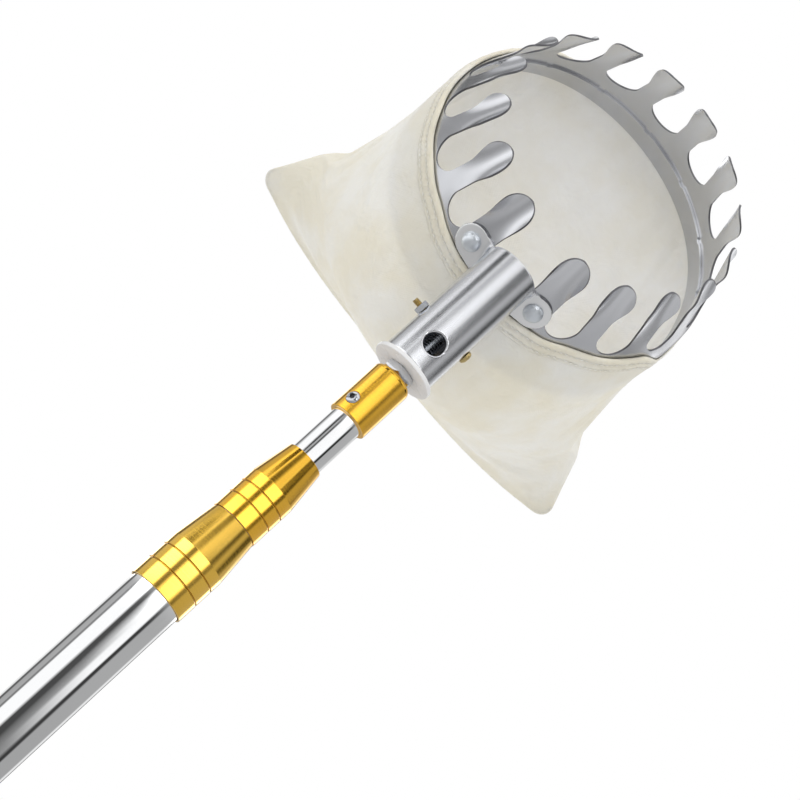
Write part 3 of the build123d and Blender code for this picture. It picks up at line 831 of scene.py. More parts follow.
# Clamping hoop. A thin band rolled to fit inside the crown, which holds the cloth's edge; its upper
# edge drops in small steps, one at every finger gap.
hoop_sheet = 1.1 * mm
hoop_depth = -0.97 * mm - hoop_sheet / 2
hoop_low = 0.5 * mm
hoop_high = 15.0 * mm
hoop_step = 1.2 * mm
hoop_step_half = 1.5 * mm / wall_radius(hoop_high)
hoop_slope = 0.1 * hoop_step_half
hoop_rows = 4
hoop_parts = 8
gap_angles = [0.0, *[bracket_pitch / 2 + finger_pitch * (k + 0.5) for k in range(finger_count - 1)], 2 * pi]
hoop_angles = []
for gap, after in zip(gap_angles, gap_angles[1:]):
    start, end = gap - hoop_step_half, gap + hoop_step_half
    hoop_angles += [(start - hoop_slope, 0), (start, 1), (gap, 1), (end, 1), (end + hoop_slope, 0)]
    plain = after - hoop_step_half - end
    hoop_angles += [(end + plain * j / hoop_parts, 0) for j in range(1, hoop_parts)]
hoop_points = []
for row in range(hoop_rows + 1):
    for angle, stepped in hoop_angles:
        slant = hoop_low + (hoop_high - hoop_step * stepped - hoop_low) * row / hoop_rows
        hoop_points.append(crown_place @ pinched(wall_point(angle, slant, hoop_depth), slant))
# The hoop's cut rim takes a far paler nickel, a painted highlight that makes a bright line along its top
# edge.
hoop_rim_highlight = metal(
    "hoop_rim_highlight", colour=(0.95, 0.955, 0.965), stretch=(300.0, 300.0, 300.0), smudge_scale=60.0,
    rough=(0.16, 0.20), smudge=0.02, relief=0.002, tint=(0.95, 0.95, 0.955),
)
hoop_faces = grid_faces(hoop_rows + 1, len(hoop_angles), closed=True)
hoop = mesh_piece("satin_hoop", hoop_points, hoop_faces, satin_nickel)
sheet_metal(hoop, hoop_sheet, 0.1 * mm, hoop_rim_highlight)
seat(hoop, "head", "satin_steel", "inner_hoop")

# Socket bracket. A short piece of 26 mm tube whose end is spread into two ears, which lie on the
# crown's wall and are riveted through; satin nickel, with a round hole in front of the nut inside.
socket_z = disc_high.z + 0.05 * mm
socket_reach = 13.0 * mm
socket_bore = 11.5 * mm
socket_top = socket_z + 65.5 * mm
ear_thickness = 1.5 * mm
ear_half_height = 8.0 * mm
ear_fold = 3.0 * mm
soft_edge = 0.7 * mm
ear_edge = 0.4 * mm
seat_gap = 0.05 * mm
rivet_slant = 33.5 * mm
rivet_angle = bracket_pitch / 2
bolt_z = socket_z + 23.5 * mm
bolt_hole = 1.6 * mm
side_hole_z = socket_z + 12.5 * mm
side_hole = 5.0 * mm


def blend_min(a, b, size):
    """Union of two distances with a fillet."""
    mix = np.clip(0.5 + 0.5 * (b - a) / size, 0, 1)
    return b * (1 - mix) + a * mix - size * mix * (1 - mix)


def blend_max(a, b, size):
    """Intersection of two distances with a rounded edge."""
    return -blend_min(-a, -b, size)


def bracket_distance(p):
    """Signed distance from the bracket's surface, for an array of points in the frame's axes."""
    x, y, z = p.T
    reach = np.hypot(x, y)
    local = (p - np.array(crown_centre)) @ np.array(crown_axes)
    over = np.hypot(local[:, 0], local[:, 1]) - crown_radius
    slant = local[:, 2] * cos(crown_lean) - over * sin(crown_lean)
    depth = over * cos(crown_lean) + local[:, 2] * sin(crown_lean)
    across = np.arctan2(local[:, 0], -local[:, 1]) * wall_radius(rivet_slant)
    ear_half = rivet_angle * wall_radius(rivet_slant)
    stadium = np.hypot(np.maximum(np.abs(across) - ear_half, 0), slant - rivet_slant) - ear_half_height
    plate = np.abs(depth - seat_gap - ear_thickness / 2) - ear_thickness / 2
    ears = blend_max(stadium, plate, ear_edge)
    tube = np.maximum(reach - socket_reach, seat_gap - depth)
    tube = blend_max(tube, np.maximum(z - socket_top, socket_z - z), soft_edge)
    body = np.maximum(blend_min(tube, ears, ear_fold), seat_gap - depth)
    hole = np.maximum(np.hypot(x, z - side_hole_z) - side_hole, y)
    bolt = np.hypot(y, z - bolt_z) - bolt_hole
    for void in (reach - socket_bore, hole, bolt):
        body = blend_max(body, -void, soft_edge)
    return body


def carved(name, distance, low, high, step, material):
    """Mesh of a signed distance's zero surface, from one point in every grid cell that it crosses."""
    counts = np.ceil((np.array(high) - np.array(low)) / step).astype(int) + 1
    axes = [low[k] + step * np.arange(counts[k]) for k in range(3)]
    grid = np.stack(np.meshgrid(*axes, indexing="ij"), -1).reshape(-1, 3)
    inside = (distance(grid) < 0).reshape(counts)
    cells = np.zeros(counts - 1, int)
    for corner in np.ndindex(2, 2, 2):
        cells += inside[tuple(slice(c, c + n) for c, n in zip(corner, counts - 1))]
    mixed = (cells > 0) & (cells < 8)
    index = np.full(mixed.shape, -1)
    index[mixed] = np.arange(mixed.sum())
    points = np.array(low) + step * (np.argwhere(mixed) + 0.5)
    nudges = 0.01 * mm * np.eye(3)
    for _ in range(6):
        value = distance(points)
        slopes = [(distance(points + n) - distance(points - n)) / (2 * n.sum()) for n in nudges]
        slope = np.stack(slopes, -1)
        size = np.maximum((slope**2).sum(-1), 0.2)
        points -= (np.clip(value, -step, step) / size)[:, None] * slope
    faces = []
    for axis in range(3):
        change = np.diff(inside.astype(int), axis=axis)
        spots = np.argwhere(change)
        first, second = np.eye(3, dtype=int)[[(axis + 1) % 3, (axis + 2) % 3]]
        corners = [spots, spots - first, spots - first - second, spots - second]
        quads = np.stack([index[tuple(corner.T)] for corner in corners], -1)
        turned_over = change[tuple(spots.T)] > 0
        quads[turned_over] = quads[turned_over][:, ::-1]
        faces += quads.tolist()
    return mesh_piece(name, points.tolist(), faces, material, sharp=60)


bracket_nickel = metal(
    "bracket_nickel", colour=(0.74, 0.75, 0.775), stretch=(260.0, 260.0, 3.0), smudge_scale=30.0,
    rough=(0.21, 0.26), smudge=0.03, relief=0.004, tint=(0.93, 0.93, 0.94),
)
# Painted light and shade: the ears are painted paler than the tube, and their cut rims darker.
ear_share = tone_where(bracket_nickel, "ear_painted_light", (0.88, 0.885, 0.895))
tone_where(bracket_nickel, "rim", (0.16, 0.16, 0.17))
bracket_tree = bracket_nickel.node_tree
bracket_rough = bracket_tree.nodes["Principled BSDF"].inputs["Roughness"]
ear_rough = computed(bracket_tree, "MULTIPLY_ADD", ear_share, 0.12, bracket_rough.links[0].from_socket)
bracket_tree.links.new(ear_rough, bracket_rough)
bracket_low, bracket_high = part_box("socket_bracket")
margin = Vector((2 * mm, 2 * mm, 2 * mm))
bracket = carved(
    "satin_bracket", bracket_distance, bracket_low - margin, bracket_high + margin, 0.45 * mm, bracket_nickel
)

# The ears are painted paler than the tube, beginning a little outside it, and their cut rims are painted
# dark.
ears = []
rims = []
for vertex in bracket.data.vertices:
    off = vertex.co.xy.length - socket_reach
    around = (crown_place.inverted() @ vertex.co).x / wall_radius(rivet_slant)
    out = crown_axes @ (wall_point(around, 0, 1.0) - wall_point(around, 0, 0.0))
    ears.append(ease(0.8 * mm, 4.0 * mm, off))
    rims.append(ease(0.75, 0.35, abs(vertex.normal.dot(out))) * ease(2.5 * mm, 4.5 * mm, off))
paint(bracket, "ear_painted_light", ears)
paint(bracket, "rim", rims)
seat(bracket, "head", "satin_steel", "socket_bracket")

# Rivets through the ears and the roots of two fingers. Steel with bright zinc plate; the domes are
# factory heads, and the flat tails inside the crown are hammered.
rivet_head = 4.5 * mm
rivet_rim = 0.15 * mm
rivet_shank = 2.0 * mm
rivet_tail = 3.3 * mm
tail_bevel = 0.4 * mm
rivet_seat = 2 * seat_gap + ear_thickness
rivet_top = rivet_seat + 3.2 * mm
tail_seat = -1.0 * mm - 2 * seat_gap
tail_end = tail_seat - 1.1 * mm
rivet_outline = [
    (0, tail_end),
    (rivet_tail - tail_bevel, tail_end),
    (rivet_tail, tail_end + tail_bevel),
    (rivet_tail, tail_seat),
    (rivet_shank, tail_seat),
    (rivet_shank, rivet_seat),
    (rivet_head - 0.1 * mm, rivet_seat),
    *dome(rivet_head, rivet_seat + rivet_rim, rivet_top, range(0, 90, 6)),
    (0, rivet_top),
]
rivet_zinc = metal(
    "rivet_zinc", colour=(0.80, 0.835, 0.87), stretch=(300.0, 300.0, 300.0), smudge_scale=160.0,
    rough=(0.32, 0.42), smudge=0.08, relief=0.02, tint=(0.86, 0.88, 0.91),
)
rivet_shape = lathed("rivet_shape", rivet_outline, 64, rivet_zinc)
rivet_spots = []
rivet_turns = []
for angle in (-rivet_angle, rivet_angle):
    foot = crown_place @ wall_point(angle, rivet_slant, 0)
    way = crown_place @ wall_point(angle, rivet_slant, 1.0) - foot
    rivet_spots.append(foot)
    rivet_turns.append(Vector((0, 0, 1)).rotation_difference(way).to_euler())
rivets = repeated("zinc_rivets", rivet_shape, rivet_spots, rivet_turns, rivet_zinc)
seat(rivets, "head", "zinc_steel", "bracket_rivets")

# Cross bolt and nut. A cross-recessed M3 screw in yellow zinc goes through the socket tube and the
# stud, so that the head can't turn off; its nut is bright zinc.
yellow_zinc = metal(
    "yellow_zinc", colour=(0.62, 0.47, 0.20), stretch=(400.0, 400.0, 400.0), smudge_scale=160.0,
    rough=(0.20, 0.34), smudge=0.10, relief=0.05, tint=(0.75, 0.80, 0.95),
)
bolt_head = 3.0 * mm
bolt_head_height = 2.2 * mm
recess_size = (0.8 * mm, 3.6 * mm, 1.8 * mm, 1)
bolt_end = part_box("cross_bolt")[0].x
bolt_place = aim((1, 0, 0), (bolt_end, 0, bolt_z))
bolt_length = socket_reach + seat_gap - bolt_end
bolt_top = bolt_length + bolt_head_height
bolt_thread = threaded_bar("bolt_thread", 1.5 * mm, 0.5 * mm, bolt_length, bolt_place, yellow_zinc, 32)
bolt_dome = dome(bolt_head, bolt_length + 0.3 * bolt_head_height, bolt_top, range(0, 85, 12))
bolt_outline = [(0, bolt_length), (bolt_head, bolt_length), *bolt_dome, (0, bolt_top)]
bolt_cap = lathed("bolt_cap", bolt_outline, 64, yellow_zinc, bolt_place)
recess_bars = []
for turn in (30, 120):
    bar = bmesh.new()
    bmesh.ops.create_cube(bar, size=1.0)
    bar_mesh = bpy.data.meshes.new("recess")
    bar.to_mesh(bar_mesh)
    bar.free()
    bar_place = Matrix.Translation((0, 0, bolt_top)) @ Matrix.Rotation(radians(turn), 4, "Z")
    bar_mesh.transform(bolt_place @ bar_place @ Matrix.Diagonal(recess_size))
    recess_bars.append(new_object("recess", bar_mesh))
cut(bolt_cap, recess_bars)
seat(bolt_thread, "head", "yellow_zinc", "cross_bolt")
seat(bolt_cap, "head", "yellow_zinc", "cross_bolt")
cross_nut_low, cross_nut_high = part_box("cross_nut")
cross_nut_place = aim((-1, 0, 0), (cross_nut_high.x, 0, bolt_z))
cross_nut_height = cross_nut_high.x - cross_nut_low.x
cross_nut = hex_nut("zinc_cross_nut", 5.5 * mm, cross_nut_height, 1.55 * mm, cross_nut_place)
seat(cross_nut, "head", "zinc_steel", "cross_nut")

# Cloth bag. Two panels of unbleached plain-weave cotton, sewn together along the sides and across the
# bottom, hang from the crown; the mouth is drawn over the band's outside, so the cloth necks in below it.
lap_top = 24.4 * mm
lap_depth = 0.75 * mm
bag_depth = 79.3 * mm
bag_drop = 46.3 * mm
seam_sag = 10.5 * mm
sag_drop, sag_depth = 0.78, 0.63
seam_tilt = 4.2 * mm
seam_shift = 0.8 * mm
ear_dip = 1.7 * mm
far_dip = 15.0 * mm
mouth_reach = 85.7 * mm
mouth_round = 2 * pi * crown_radius
bag_corner = 7.5 * mm
pouch_length = 108.0 * mm
bag_columns = 160
lap_rows = 8
pouch_rows = 42
# Half of the bag's width, and how far its front and back stand from its middle, in millimetres, at
# ways down that run from 0 at the mouth to 1 at the seam.
pouch_ways = (0.0, 0.2, 0.45, 0.72, 1.0)
pouch_widths = (79.0, 76.3, 82.6, 94.2, 106.5)
pouch_fronts = (85.7, 84.0, 69.0, 25.0, 0.0)
pouch_backs = (85.7, 81.0, 69.0, 43.0, 0.0)


def drawn(sizes, way):
    """Smooth curve through the bag's sizes at its ways down."""
    slopes = np.gradient(sizes, pouch_ways)
    k = min(int(np.searchsorted(pouch_ways, way, side="right")) - 1, len(pouch_ways) - 2)
    span = pouch_ways[k + 1] - pouch_ways[k]
    t = (way - pouch_ways[k]) / span
    first = (2 * t**3 - 3 * t**2 + 1) * sizes[k] + (t**3 - 2 * t**2 + t) * span * slopes[k]
    second = (3 * t**2 - 2 * t**3) * sizes[k + 1] + (t**3 - t**2) * span * slopes[k + 1]
    return float(first + second) * mm


def far_share(turn):
    """1 on the far side, where the mouth has slipped down the band, and 0 on the near side."""
    turn %= 2 * pi
    return ease(radians(64), radians(84), turn) * ease(radians(225), radians(195), turn)


def mouth_dip(turn):
    """How far the mouth's edge sits lower: under the ears, on the far side, and by its unevenness."""
    turn %= 2 * pi
    beside = ease(radians(23), radians(34), min(turn, 2 * pi - turn))
    uneven = (0.25 * sin(7 * turn + 1) + 0.2 * sin(17 * turn)) * mm
    return ear_dip * (1 - beside) + uneven + far_dip * far_share(turn)


def pouch_point(turn, way):
    """Point of the bag in the crown's axes: turn from the bracket, way down from the mouth to the seam."""
    side = sin(turn)
    stand = drawn(pouch_fronts if cos(turn) > 0 else pouch_backs, way)
    inset = max(0.0, bag_corner - (1 - abs(side)) * pouch_widths[-1] * mm)
    way *= 1 - (bag_corner - sqrt(bag_corner**2 - inset**2)) / pouch_length
    sag = seam_sag * (1 - abs(side) ** 3) * way**2
    hug = 3 * (1 - ease(0.0, 0.4, way))
    narrowed = (mouth_reach - drawn(pouch_widths, way)) * abs(side) ** hug
    across = (mouth_reach - narrowed) * side + seam_shift * way**2
    back = -bag_drop * way - stand * cos(turn) - sag_drop * sag - seam_tilt * side * way**2
    level = lap_depth * sin(crown_lean) - bag_depth * way - sag_depth * sag
    return Vector((across, back, level))


bag_turns = [2 * pi * (j + 0.5) / bag_columns for j in range(bag_columns)]
bag_points = []
for i in range(lap_rows):
    for turn in bag_turns:
        slant = (lap_top - mouth_dip(turn)) * (1 - i / lap_rows)
        bag_points.append(pinched(wall_point(turn, slant, lap_depth), slant))
for i in range(pouch_rows + 1):
    bag_points += [pouch_point(turn, i / pouch_rows) for turn in bag_turns]

# Shared effect: plain weave. Threads that pass over and under each other in both directions of the
# cloth, with thicker stretches of yarn, and the soft crumple and yellowing of unbleached cotton.
weave, weave_in, weave_out = new_group(
    "plain_weave", {"Pitch": 0.65 * mm, "Crumple": 70.0}, ("Height", "Yellowing", "Roughness")
)
weave_place = add_node(weave, "ShaderNodeTexCoord").outputs
weave_threads = computed(weave, "DIVIDE", pi, weave_in.outputs["Pitch"])
weave_turns = add_node(
    weave, "ShaderNodeVectorMath", {0: weave_place["UV"], "Scale": weave_threads}, operation="SCALE"
).outputs[0]
weave_parts = add_node(weave, "ShaderNodeSeparateXYZ", {0: weave_turns}).outputs
weave_warp = computed(weave, "SINE", weave_parts[0])
weave_weft = computed(weave, "SINE", weave_parts[1])
weave_over = computed(weave, "MULTIPLY", weave_warp, weave_weft)
weave_slubs = noise(weave, weave_turns, 0.06, Detail=2.0, Roughness=0.6)
weave_folds = noise(weave, weave_place["Object"], weave_in.outputs["Crumple"], Detail=3.0, Distortion=0.8)
weave_stain = noise(weave, weave_place["Object"], 34.0, Detail=4.0)
weave_grain = computed(weave, "MULTIPLY_ADD", weave_slubs, 0.3, computed(weave, "MULTIPLY", weave_over, 0.03))
weave_patches = spread(weave, weave_stain, 0.35, 0.62)
weave_results = {
    "Height": computed(weave, "MULTIPLY_ADD", weave_folds, 2.6, weave_grain),
    "Yellowing": computed(weave, "MULTIPLY_ADD", painted(weave, "edge"), 0.6, weave_patches),
    "Roughness": spread(weave, weave_slubs, 0.3, 0.7, 0.84, 0.95),
}
feed(weave, weave_out, weave_results)


def woven(name, pale, yellowed, pitch, crumple, relief):
    """Cotton cloth or yarn with its weave, crumple and yellowing; a little light passes through it."""
    constants = {
        "Specular IOR Level": 0.2,
        "Subsurface Weight": 0.6,
        "Subsurface Radius": (1.0, 0.95, 0.85),
        "Subsurface Scale": 3.0 * mm,
    }
    material, tree, shader = new_material(name, constants)
    cloth = add_node(tree, "ShaderNodeGroup", {"Pitch": pitch, "Crumple": crumple}, node_tree=weave)
    results = {
        "Base Color": blend(tree, cloth.outputs["Yellowing"], pale, yellowed),
        "Roughness": cloth.outputs["Roughness"],
        "Normal": relief_normal(tree, cloth.outputs["Height"], relief, 1.3 * mm),
    }
    feed(tree, shader, results)
    return material


def lay_threads(mesh, columns, heights):
    """UV layer in metres, round the mouth and down the cloth, for a grid closed round its columns."""
    layer = mesh.uv_layers.new(name="cloth")
    for face in mesh.polygons:
        turns = [v % columns for v in face.vertices]
        for loop, vertex, column in zip(face.loop_indices, face.vertices, turns):
            wrapped = column + columns if max(turns) - column > columns / 2 else column
            layer.data[loop].uv = (wrapped / columns * mouth_round, heights[vertex])


cloth_pitch = 0.65 * mm
cotton = woven("cotton", (0.80, 0.783, 0.725), (0.76, 0.715, 0.60), cloth_pitch, crumple=48.0, relief=0.6)
# The inside face is the same cotton painted much paler: painted light that makes up for the shade inside the
# bag.
cotton_inside_painted_light = woven(
    "cotton_inside_painted_light", (0.93, 0.92, 0.89), (0.88, 0.85, 0.775), cloth_pitch, crumple=48.0, relief=0.6
)
bag_faces = grid_faces(lap_rows + pouch_rows + 1, bag_columns, closed=True)
bag = mesh_piece("cotton_bag", [crown_place @ p for p in bag_points], bag_faces, cotton, sharp=180)
bag_mesh = bag.data
bag_ways = [(v // bag_columns - lap_rows) / pouch_rows for v in range(len(bag_mesh.vertices))]
bag_sides = [abs(sin(bag_turns[v % bag_columns])) for v in range(len(bag_mesh.vertices))]
lay_threads(bag_mesh, bag_columns, [way * pouch_length for way in bag_ways])

# The doubled cloth is yellower: under the mouth's lap, along the side seams and across the bottom.
seams = []
for way, side in zip(bag_ways, bag_sides):
    lap = 0.3 * ease(0.05, -0.1, way)
    side_seam = 0.4 * ease(0.955, 0.975, side) * ease(0.3, 0.5, way)
    bottom_seam = 0.6 * ease(0.9, 0.97, way)
    seams.append(max(lap, side_seam, bottom_seam))
paint(bag, "edge", seams)

# The drape: the cloth is cut a little larger than the shape and hangs from the lap by its own weight, with
# a little air inside. It is held at the seam and corners, and no point moves further than the cap.
drape_spare = 0.025
drape_hold = 0.03
seam_hold = 0.9
lap_end = 0.06
drape_cap = 9.0 * mm
drape_steps = 24
held = bag.vertex_groups.new(name="held")
for vertex, (way, side) in enumerate(zip(bag_ways, bag_sides)):
    sewn = max(ease(0.85, 1.0, way), ease(0.8, 0.95, side) * ease(0.6, 0.85, way))
    held.add([vertex], min(1.0, max(drape_hold, 1 - way / lap_end, seam_hold * sewn)), "REPLACE")
drape = bag.modifiers.new("drape", "CLOTH")
for key, value in (
    ("quality", 8),
    ("mass", 0.15),
    ("air_damping", 2.0),
    ("tension_stiffness", 8.0),
    ("compression_stiffness", 8.0),
    ("shear_stiffness", 3.0),
    ("bending_stiffness", 0.05),
    ("shrink_min", -drape_spare),
    ("shrink_max", -drape_spare),
    ("vertex_group_mass", "held"),
    ("use_pressure", True),
    ("uniform_pressure_force", 0.25),
):
    setattr(drape.settings, key, value)
drape.collision_settings.use_collision = False
drape.point_cache.frame_end = drape_steps
for step in range(1, drape_steps + 1):
    bpy.context.scene.frame_set(step)
hung = np.empty(3 * len(bag_mesh.vertices))
bag.evaluated_get(bpy.context.evaluated_depsgraph_get()).data.vertices.foreach_get("co", hung)
bag.modifiers.clear()
bpy.context.scene.frame_set(1)
cut_out = np.empty_like(hung)
bag_mesh.vertices.foreach_get("co", cut_out)
move = (hung - cut_out).reshape(-1, 3)
reach = np.maximum(np.linalg.norm(move, axis=1, keepdims=True), 1e-9)
capped = move / reach * drape_cap * np.tanh(reach / drape_cap)
bag_mesh.vertices.foreach_set("co", cut_out + capped.reshape(-1))
bag_mesh.update()
bag.vertex_groups.clear()
smooth_cloth = bag.modifiers.new("smooth_cloth", "SUBSURF")
smooth_cloth.levels = 1
smooth_cloth.render_levels = 1
cloth_wall = bag.modifiers.new("cloth", "SOLIDIFY")
cloth_wall.thickness = 0.8 * mm
cloth_wall.offset = 0.0
# The inner face takes the paler, painted-light cotton.
cloth_wall.material_offset = 1
bag_mesh.materials.append(cotton_inside_painted_light)
seat(bag, "head", "cotton", "bag_front_panel", "bag_back_panel")

# Hem. The mouth's edge is turned over twice and sewn down with two rows of stitches, which draw the
# roll in; it dips under the bracket's ears, slips down on the far side, and isn't quite even.
hem_columns = 320
hem_outside = 1.5
hem_row = 0.7 * mm
hem_yellow = 0.6
far_flat = 0.45
# The roll's outline in millimetres: the way up the crown's wall and the way out from it.
hem_profile = [
    (26.3, 0.25), (26.75, 0.7), (26.8, 1.3), (26.4, 1.9), (25.6, 2.25), (24.6, 2.2), (23.9, 1.92),
    (23.5, 1.82), (23.1, 1.94), (22.2, 2.2), (21.2, 2.2), (20.4, 1.92), (20.0, 1.8), (19.6, 1.85),
    (19.0, 1.85), (18.4, 1.6), (18.1, 1.2), (21.0, 1.2), (25.5, 1.2), (25.7, 0.3),
]


def hem_point(turn, slant, depth):
    """Point of the hem in the crown's axes: lower where the mouth dips, and flatter on the far side."""
    slant = slant * mm - mouth_dip(turn)
    out = depth * (1 - far_flat * far_share(turn)) * mm
    return pinched(wall_point(turn, slant, out), slant)


hem_points = []
for slant, depth in hem_profile:
    for turn in [2 * pi * j / hem_columns for j in range(hem_columns)]:
        pucker = 0.1 * sin(53 * turn + slant) + 0.07 * sin(31 * turn - 2 * slant)
        out = depth + pucker if depth > hem_outside else depth
        hem_points.append(crown_place @ hem_point(turn, slant, out))
hem_faces = grid_faces(len(hem_profile), hem_columns, closed=True)
last_row = (len(hem_profile) - 1) * hem_columns
for j in range(hem_columns):
    after = (j + 1) % hem_columns
    hem_faces.append((last_row + j, last_row + after, after, j))
hem_cotton = woven(
    "cotton_hem_cloth", (0.76, 0.74, 0.675), (0.70, 0.655, 0.54), cloth_pitch, crumple=150.0, relief=0.4
)
hem = mesh_piece("cotton_hem", hem_points, hem_faces, hem_cotton, sharp=180)
lay_threads(hem.data, hem_columns, [v // hem_columns * hem_row for v in range(len(hem_points))])
paint(hem, "edge", [hem_yellow] * len(hem_points))
seat(hem, "head", "cotton", "bag_collar")
yarn = woven("cotton_yarn", (0.86, 0.845, 0.79), (0.82, 0.78, 0.68), 0.3 * mm, crumple=300.0, relief=0.2)
stitch_slants = (23.5, 20.0)
stitch_depth = 1.9
stitch_pitch = 2.7 * mm
stitch_half = 1.0 * mm
yarn_radius = 0.28 * mm
stitch_spots = []
stitch_turns = []
for slant in stitch_slants:
    count = round(2 * pi * wall_radius(slant * mm) / stitch_pitch)
    for turn in [2 * pi * k / count for k in range(count)]:
        along = Vector((cos(turn), sin(turn), 0))
        out = (wall_point(turn, 0, 1.0) - wall_point(turn, 0, 0)).normalized()
        axes = Matrix((along, out.cross(along), out)).transposed()
        stitch_spots.append(crown_place @ hem_point(turn, slant, stitch_depth))
        stitch_turns.append((crown_axes @ axes).to_euler())
stitch_outline = [(0, -1.0), (0.55, -0.75), (1.0, -0.2), (1.0, 0.2), (0.55, 0.75), (0, 1.0)]
stitch_place = Matrix(((0, 0, stitch_half, 0), (0, yarn_radius, 0, 0), (yarn_radius, 0, 0, 0), (0, 0, 0, 1)))
stitch_shape = lathed("stitch_shape", stitch_outline, 6, yarn, stitch_place, 180)
stitches = repeated("hem_stitches", stitch_shape, stitch_spots, stitch_turns, yarn)
seat(stitches, "head", "cotton")

# Studio. A pale floor and a white background; long cards round the pole, seen only in reflections,
# give the metal its stripes, and large soft lamps light the cloth.
white = (1, 1, 1, 1)
floor_level = plug_low.z - 0.5 * mm
floor_half = 4.0
floor_signs = ((-1, -1), (1, -1), (1, 1), (-1, 1))
floor_corners = [(x * floor_half, y * floor_half, floor_level) for x, y in floor_signs]
floor_paint, floor_tree, floor_shader = new_material(
    "pale_floor", {"Base Color": (0.9, 0.9, 0.9, 1), "Roughness": 0.9}
)
floor_spot = add_node(floor_tree, "ShaderNodeTexCoord").outputs["Object"]
floor_way = add_node(floor_tree, "ShaderNodeVectorMath", {0: floor_spot}, operation="LENGTH").outputs["Value"]
floor_fade = spread(floor_tree, floor_way, 0.3, 1.6)
camera_ray = add_node(floor_tree, "ShaderNodeLightPath").outputs["Is Camera Ray"]
backfacing = add_node(floor_tree, "ShaderNodeNewGeometry").outputs["Backfacing"]
floor_white = add_node(floor_tree, "ShaderNodeEmission", {"Color": white, "Strength": 1.0})
floor_clear = add_node(floor_tree, "ShaderNodeBsdfTransparent")
floor_seen = computed(floor_tree, "MULTIPLY", floor_fade, camera_ray)
floor_below = computed(floor_tree, "MULTIPLY", backfacing, camera_ray)
floor_surface = floor_shader
for share, other in ((floor_seen, floor_white), (floor_below, floor_clear)):
    links = {0: share, 1: floor_surface.outputs[0], 2: other.outputs[0]}
    floor_surface = add_node(floor_tree, "ShaderNodeMixShader", links)
feed(floor_tree, floor_tree.nodes["Material Output"], {"Surface": floor_surface.outputs[0]})
floor_mesh = bpy.data.meshes.new("floor")
floor_mesh.from_pydata(floor_corners, [], [(0, 1, 2, 3)])
floor_mesh.materials.append(floor_paint)
new_object("floor", floor_mesh)

# Brightness of the cards by height and by the angle round the pole from the camera's side, positive
# towards +X. Two white banks stand between dark flags, and grey walls close the sides.
pole_low = [
    (-180, 0.42), (-104, 0.45), (-99, 0.22), (-94, 0.22), (-88, 1.15), (-44, 1.15), (-33, 0.07), (-14, 0.07),
    (-3, 0.17), (11, 0.24), (38, 0.32), (50, 0.05), (57, 0.05), (63, 0.42), (180, 0.42),
]
pole_middle = [
    (-180, 0.45), (-104, 0.48), (-99, 0.25), (-94, 0.25), (-88, 1.15), (-43, 1.15), (-33, 0.08), (-17, 0.08),
    (-10, 0.24), (0, 0.31), (11, 0.44), (20, 1.1), (40, 1.15), (46, 0.045), (54, 0.045), (61, 0.45),
    (180, 0.45),
]
pole_high = [
    (-180, 0.45), (-104, 0.48), (-99, 0.27), (-94, 0.27), (-88, 1.15), (-42, 1.15), (-34, 0.08), (-22, 0.08),
    (-12, 0.45), (0, 0.85), (5, 1.15), (40, 1.15), (46, 0.045), (54, 0.045), (61, 0.45), (180, 0.45),
]
lower_bands = [
    (-180, 0.75), (-98, 0.8), (-88, 4.2), (-46, 4.2), (-36, 0.42), (-24, 0.42), (-10, 3.2), (30, 3.2),
    (42, 0.42), (54, 0.42), (60, 0.58), (180, 0.58),
]
upper_bands = [
    (-180, 0.72), (-98, 0.75), (-88, 3.0), (-48, 3.0), (-40, 0.12), (-24, 0.12), (-14, 2.8), (33, 2.8),
    (42, 0.12), (54, 0.12), (60, 0.6), (180, 0.6),
]
thin_tube = [
    (-180, 0.5), (-120, 0.55), (-107, 1.15), (-66, 1.15), (-57, 0.3), (-54, 0.04), (-49, 0.04), (-44, 0.45),
    (-37, 0.45), (-33, 0.06), (-29, 0.06), (-21, 1.1), (37, 1.15), (44, 0.15), (47, 0.02), (54, 0.02),
    (60, 0.46), (180, 0.48),
]
connector_cards = [
    (-180, 0.75), (-106, 0.78), (-97, 2.2), (-67, 2.0), (-56, 0.3), (-36, 0.3), (-25, 1.9), (22, 1.9),
    (34, 0.25), (44, 0.25), (52, 0.58), (180, 0.55),
]
socket_cards = [
    (-180, 0.5), (-95, 0.55), (-82, 0.4), (-76, 0.02), (-58, 0.02), (-48, 1.2), (-8, 1.2), (6, 0.7),
    (18, 0.12), (40, 0.12), (52, 0.4), (66, 0.6), (76, 0.4), (86, 0.03), (108, 0.03), (118, 0.6), (180, 0.5),
]
cone_cards = [
    (-180, 0.6), (-98, 0.65), (-86, 1.4), (-52, 1.4), (-42, 0.12), (-26, 0.12), (-12, 1.0), (30, 1.0),
    (42, 0.08), (52, 0.08), (60, 0.5), (180, 0.5),
]
sky_cards = [(-180, 1.2), (180, 1.2)]
card_rows = [
    (-2.0, pole_low), (0.95, pole_low), (1.25, pole_middle), (1.44, pole_high), (1.495, pole_high),
    (1.51, lower_bands), (1.70, lower_bands), (1.76, upper_bands), (2.0, upper_bands), (2.06, thin_tube),
    (2.235, thin_tube), (2.25, connector_cards), (2.43, connector_cards), (2.46, socket_cards),
    (2.84, socket_cards), (2.93, cone_cards), (3.95, cone_cards), (4.3, sky_cards), (7.0, sky_cards),
]
card_reach = 5.0
card_steps = 720
camera_turn = 0.5


def round_pole(angle, reach, z):
    """Point round the pole at an angle from the camera's side."""
    around = radians(angle - camera_turn - 90.0)
    return (reach * cos(around), reach * sin(around), z)


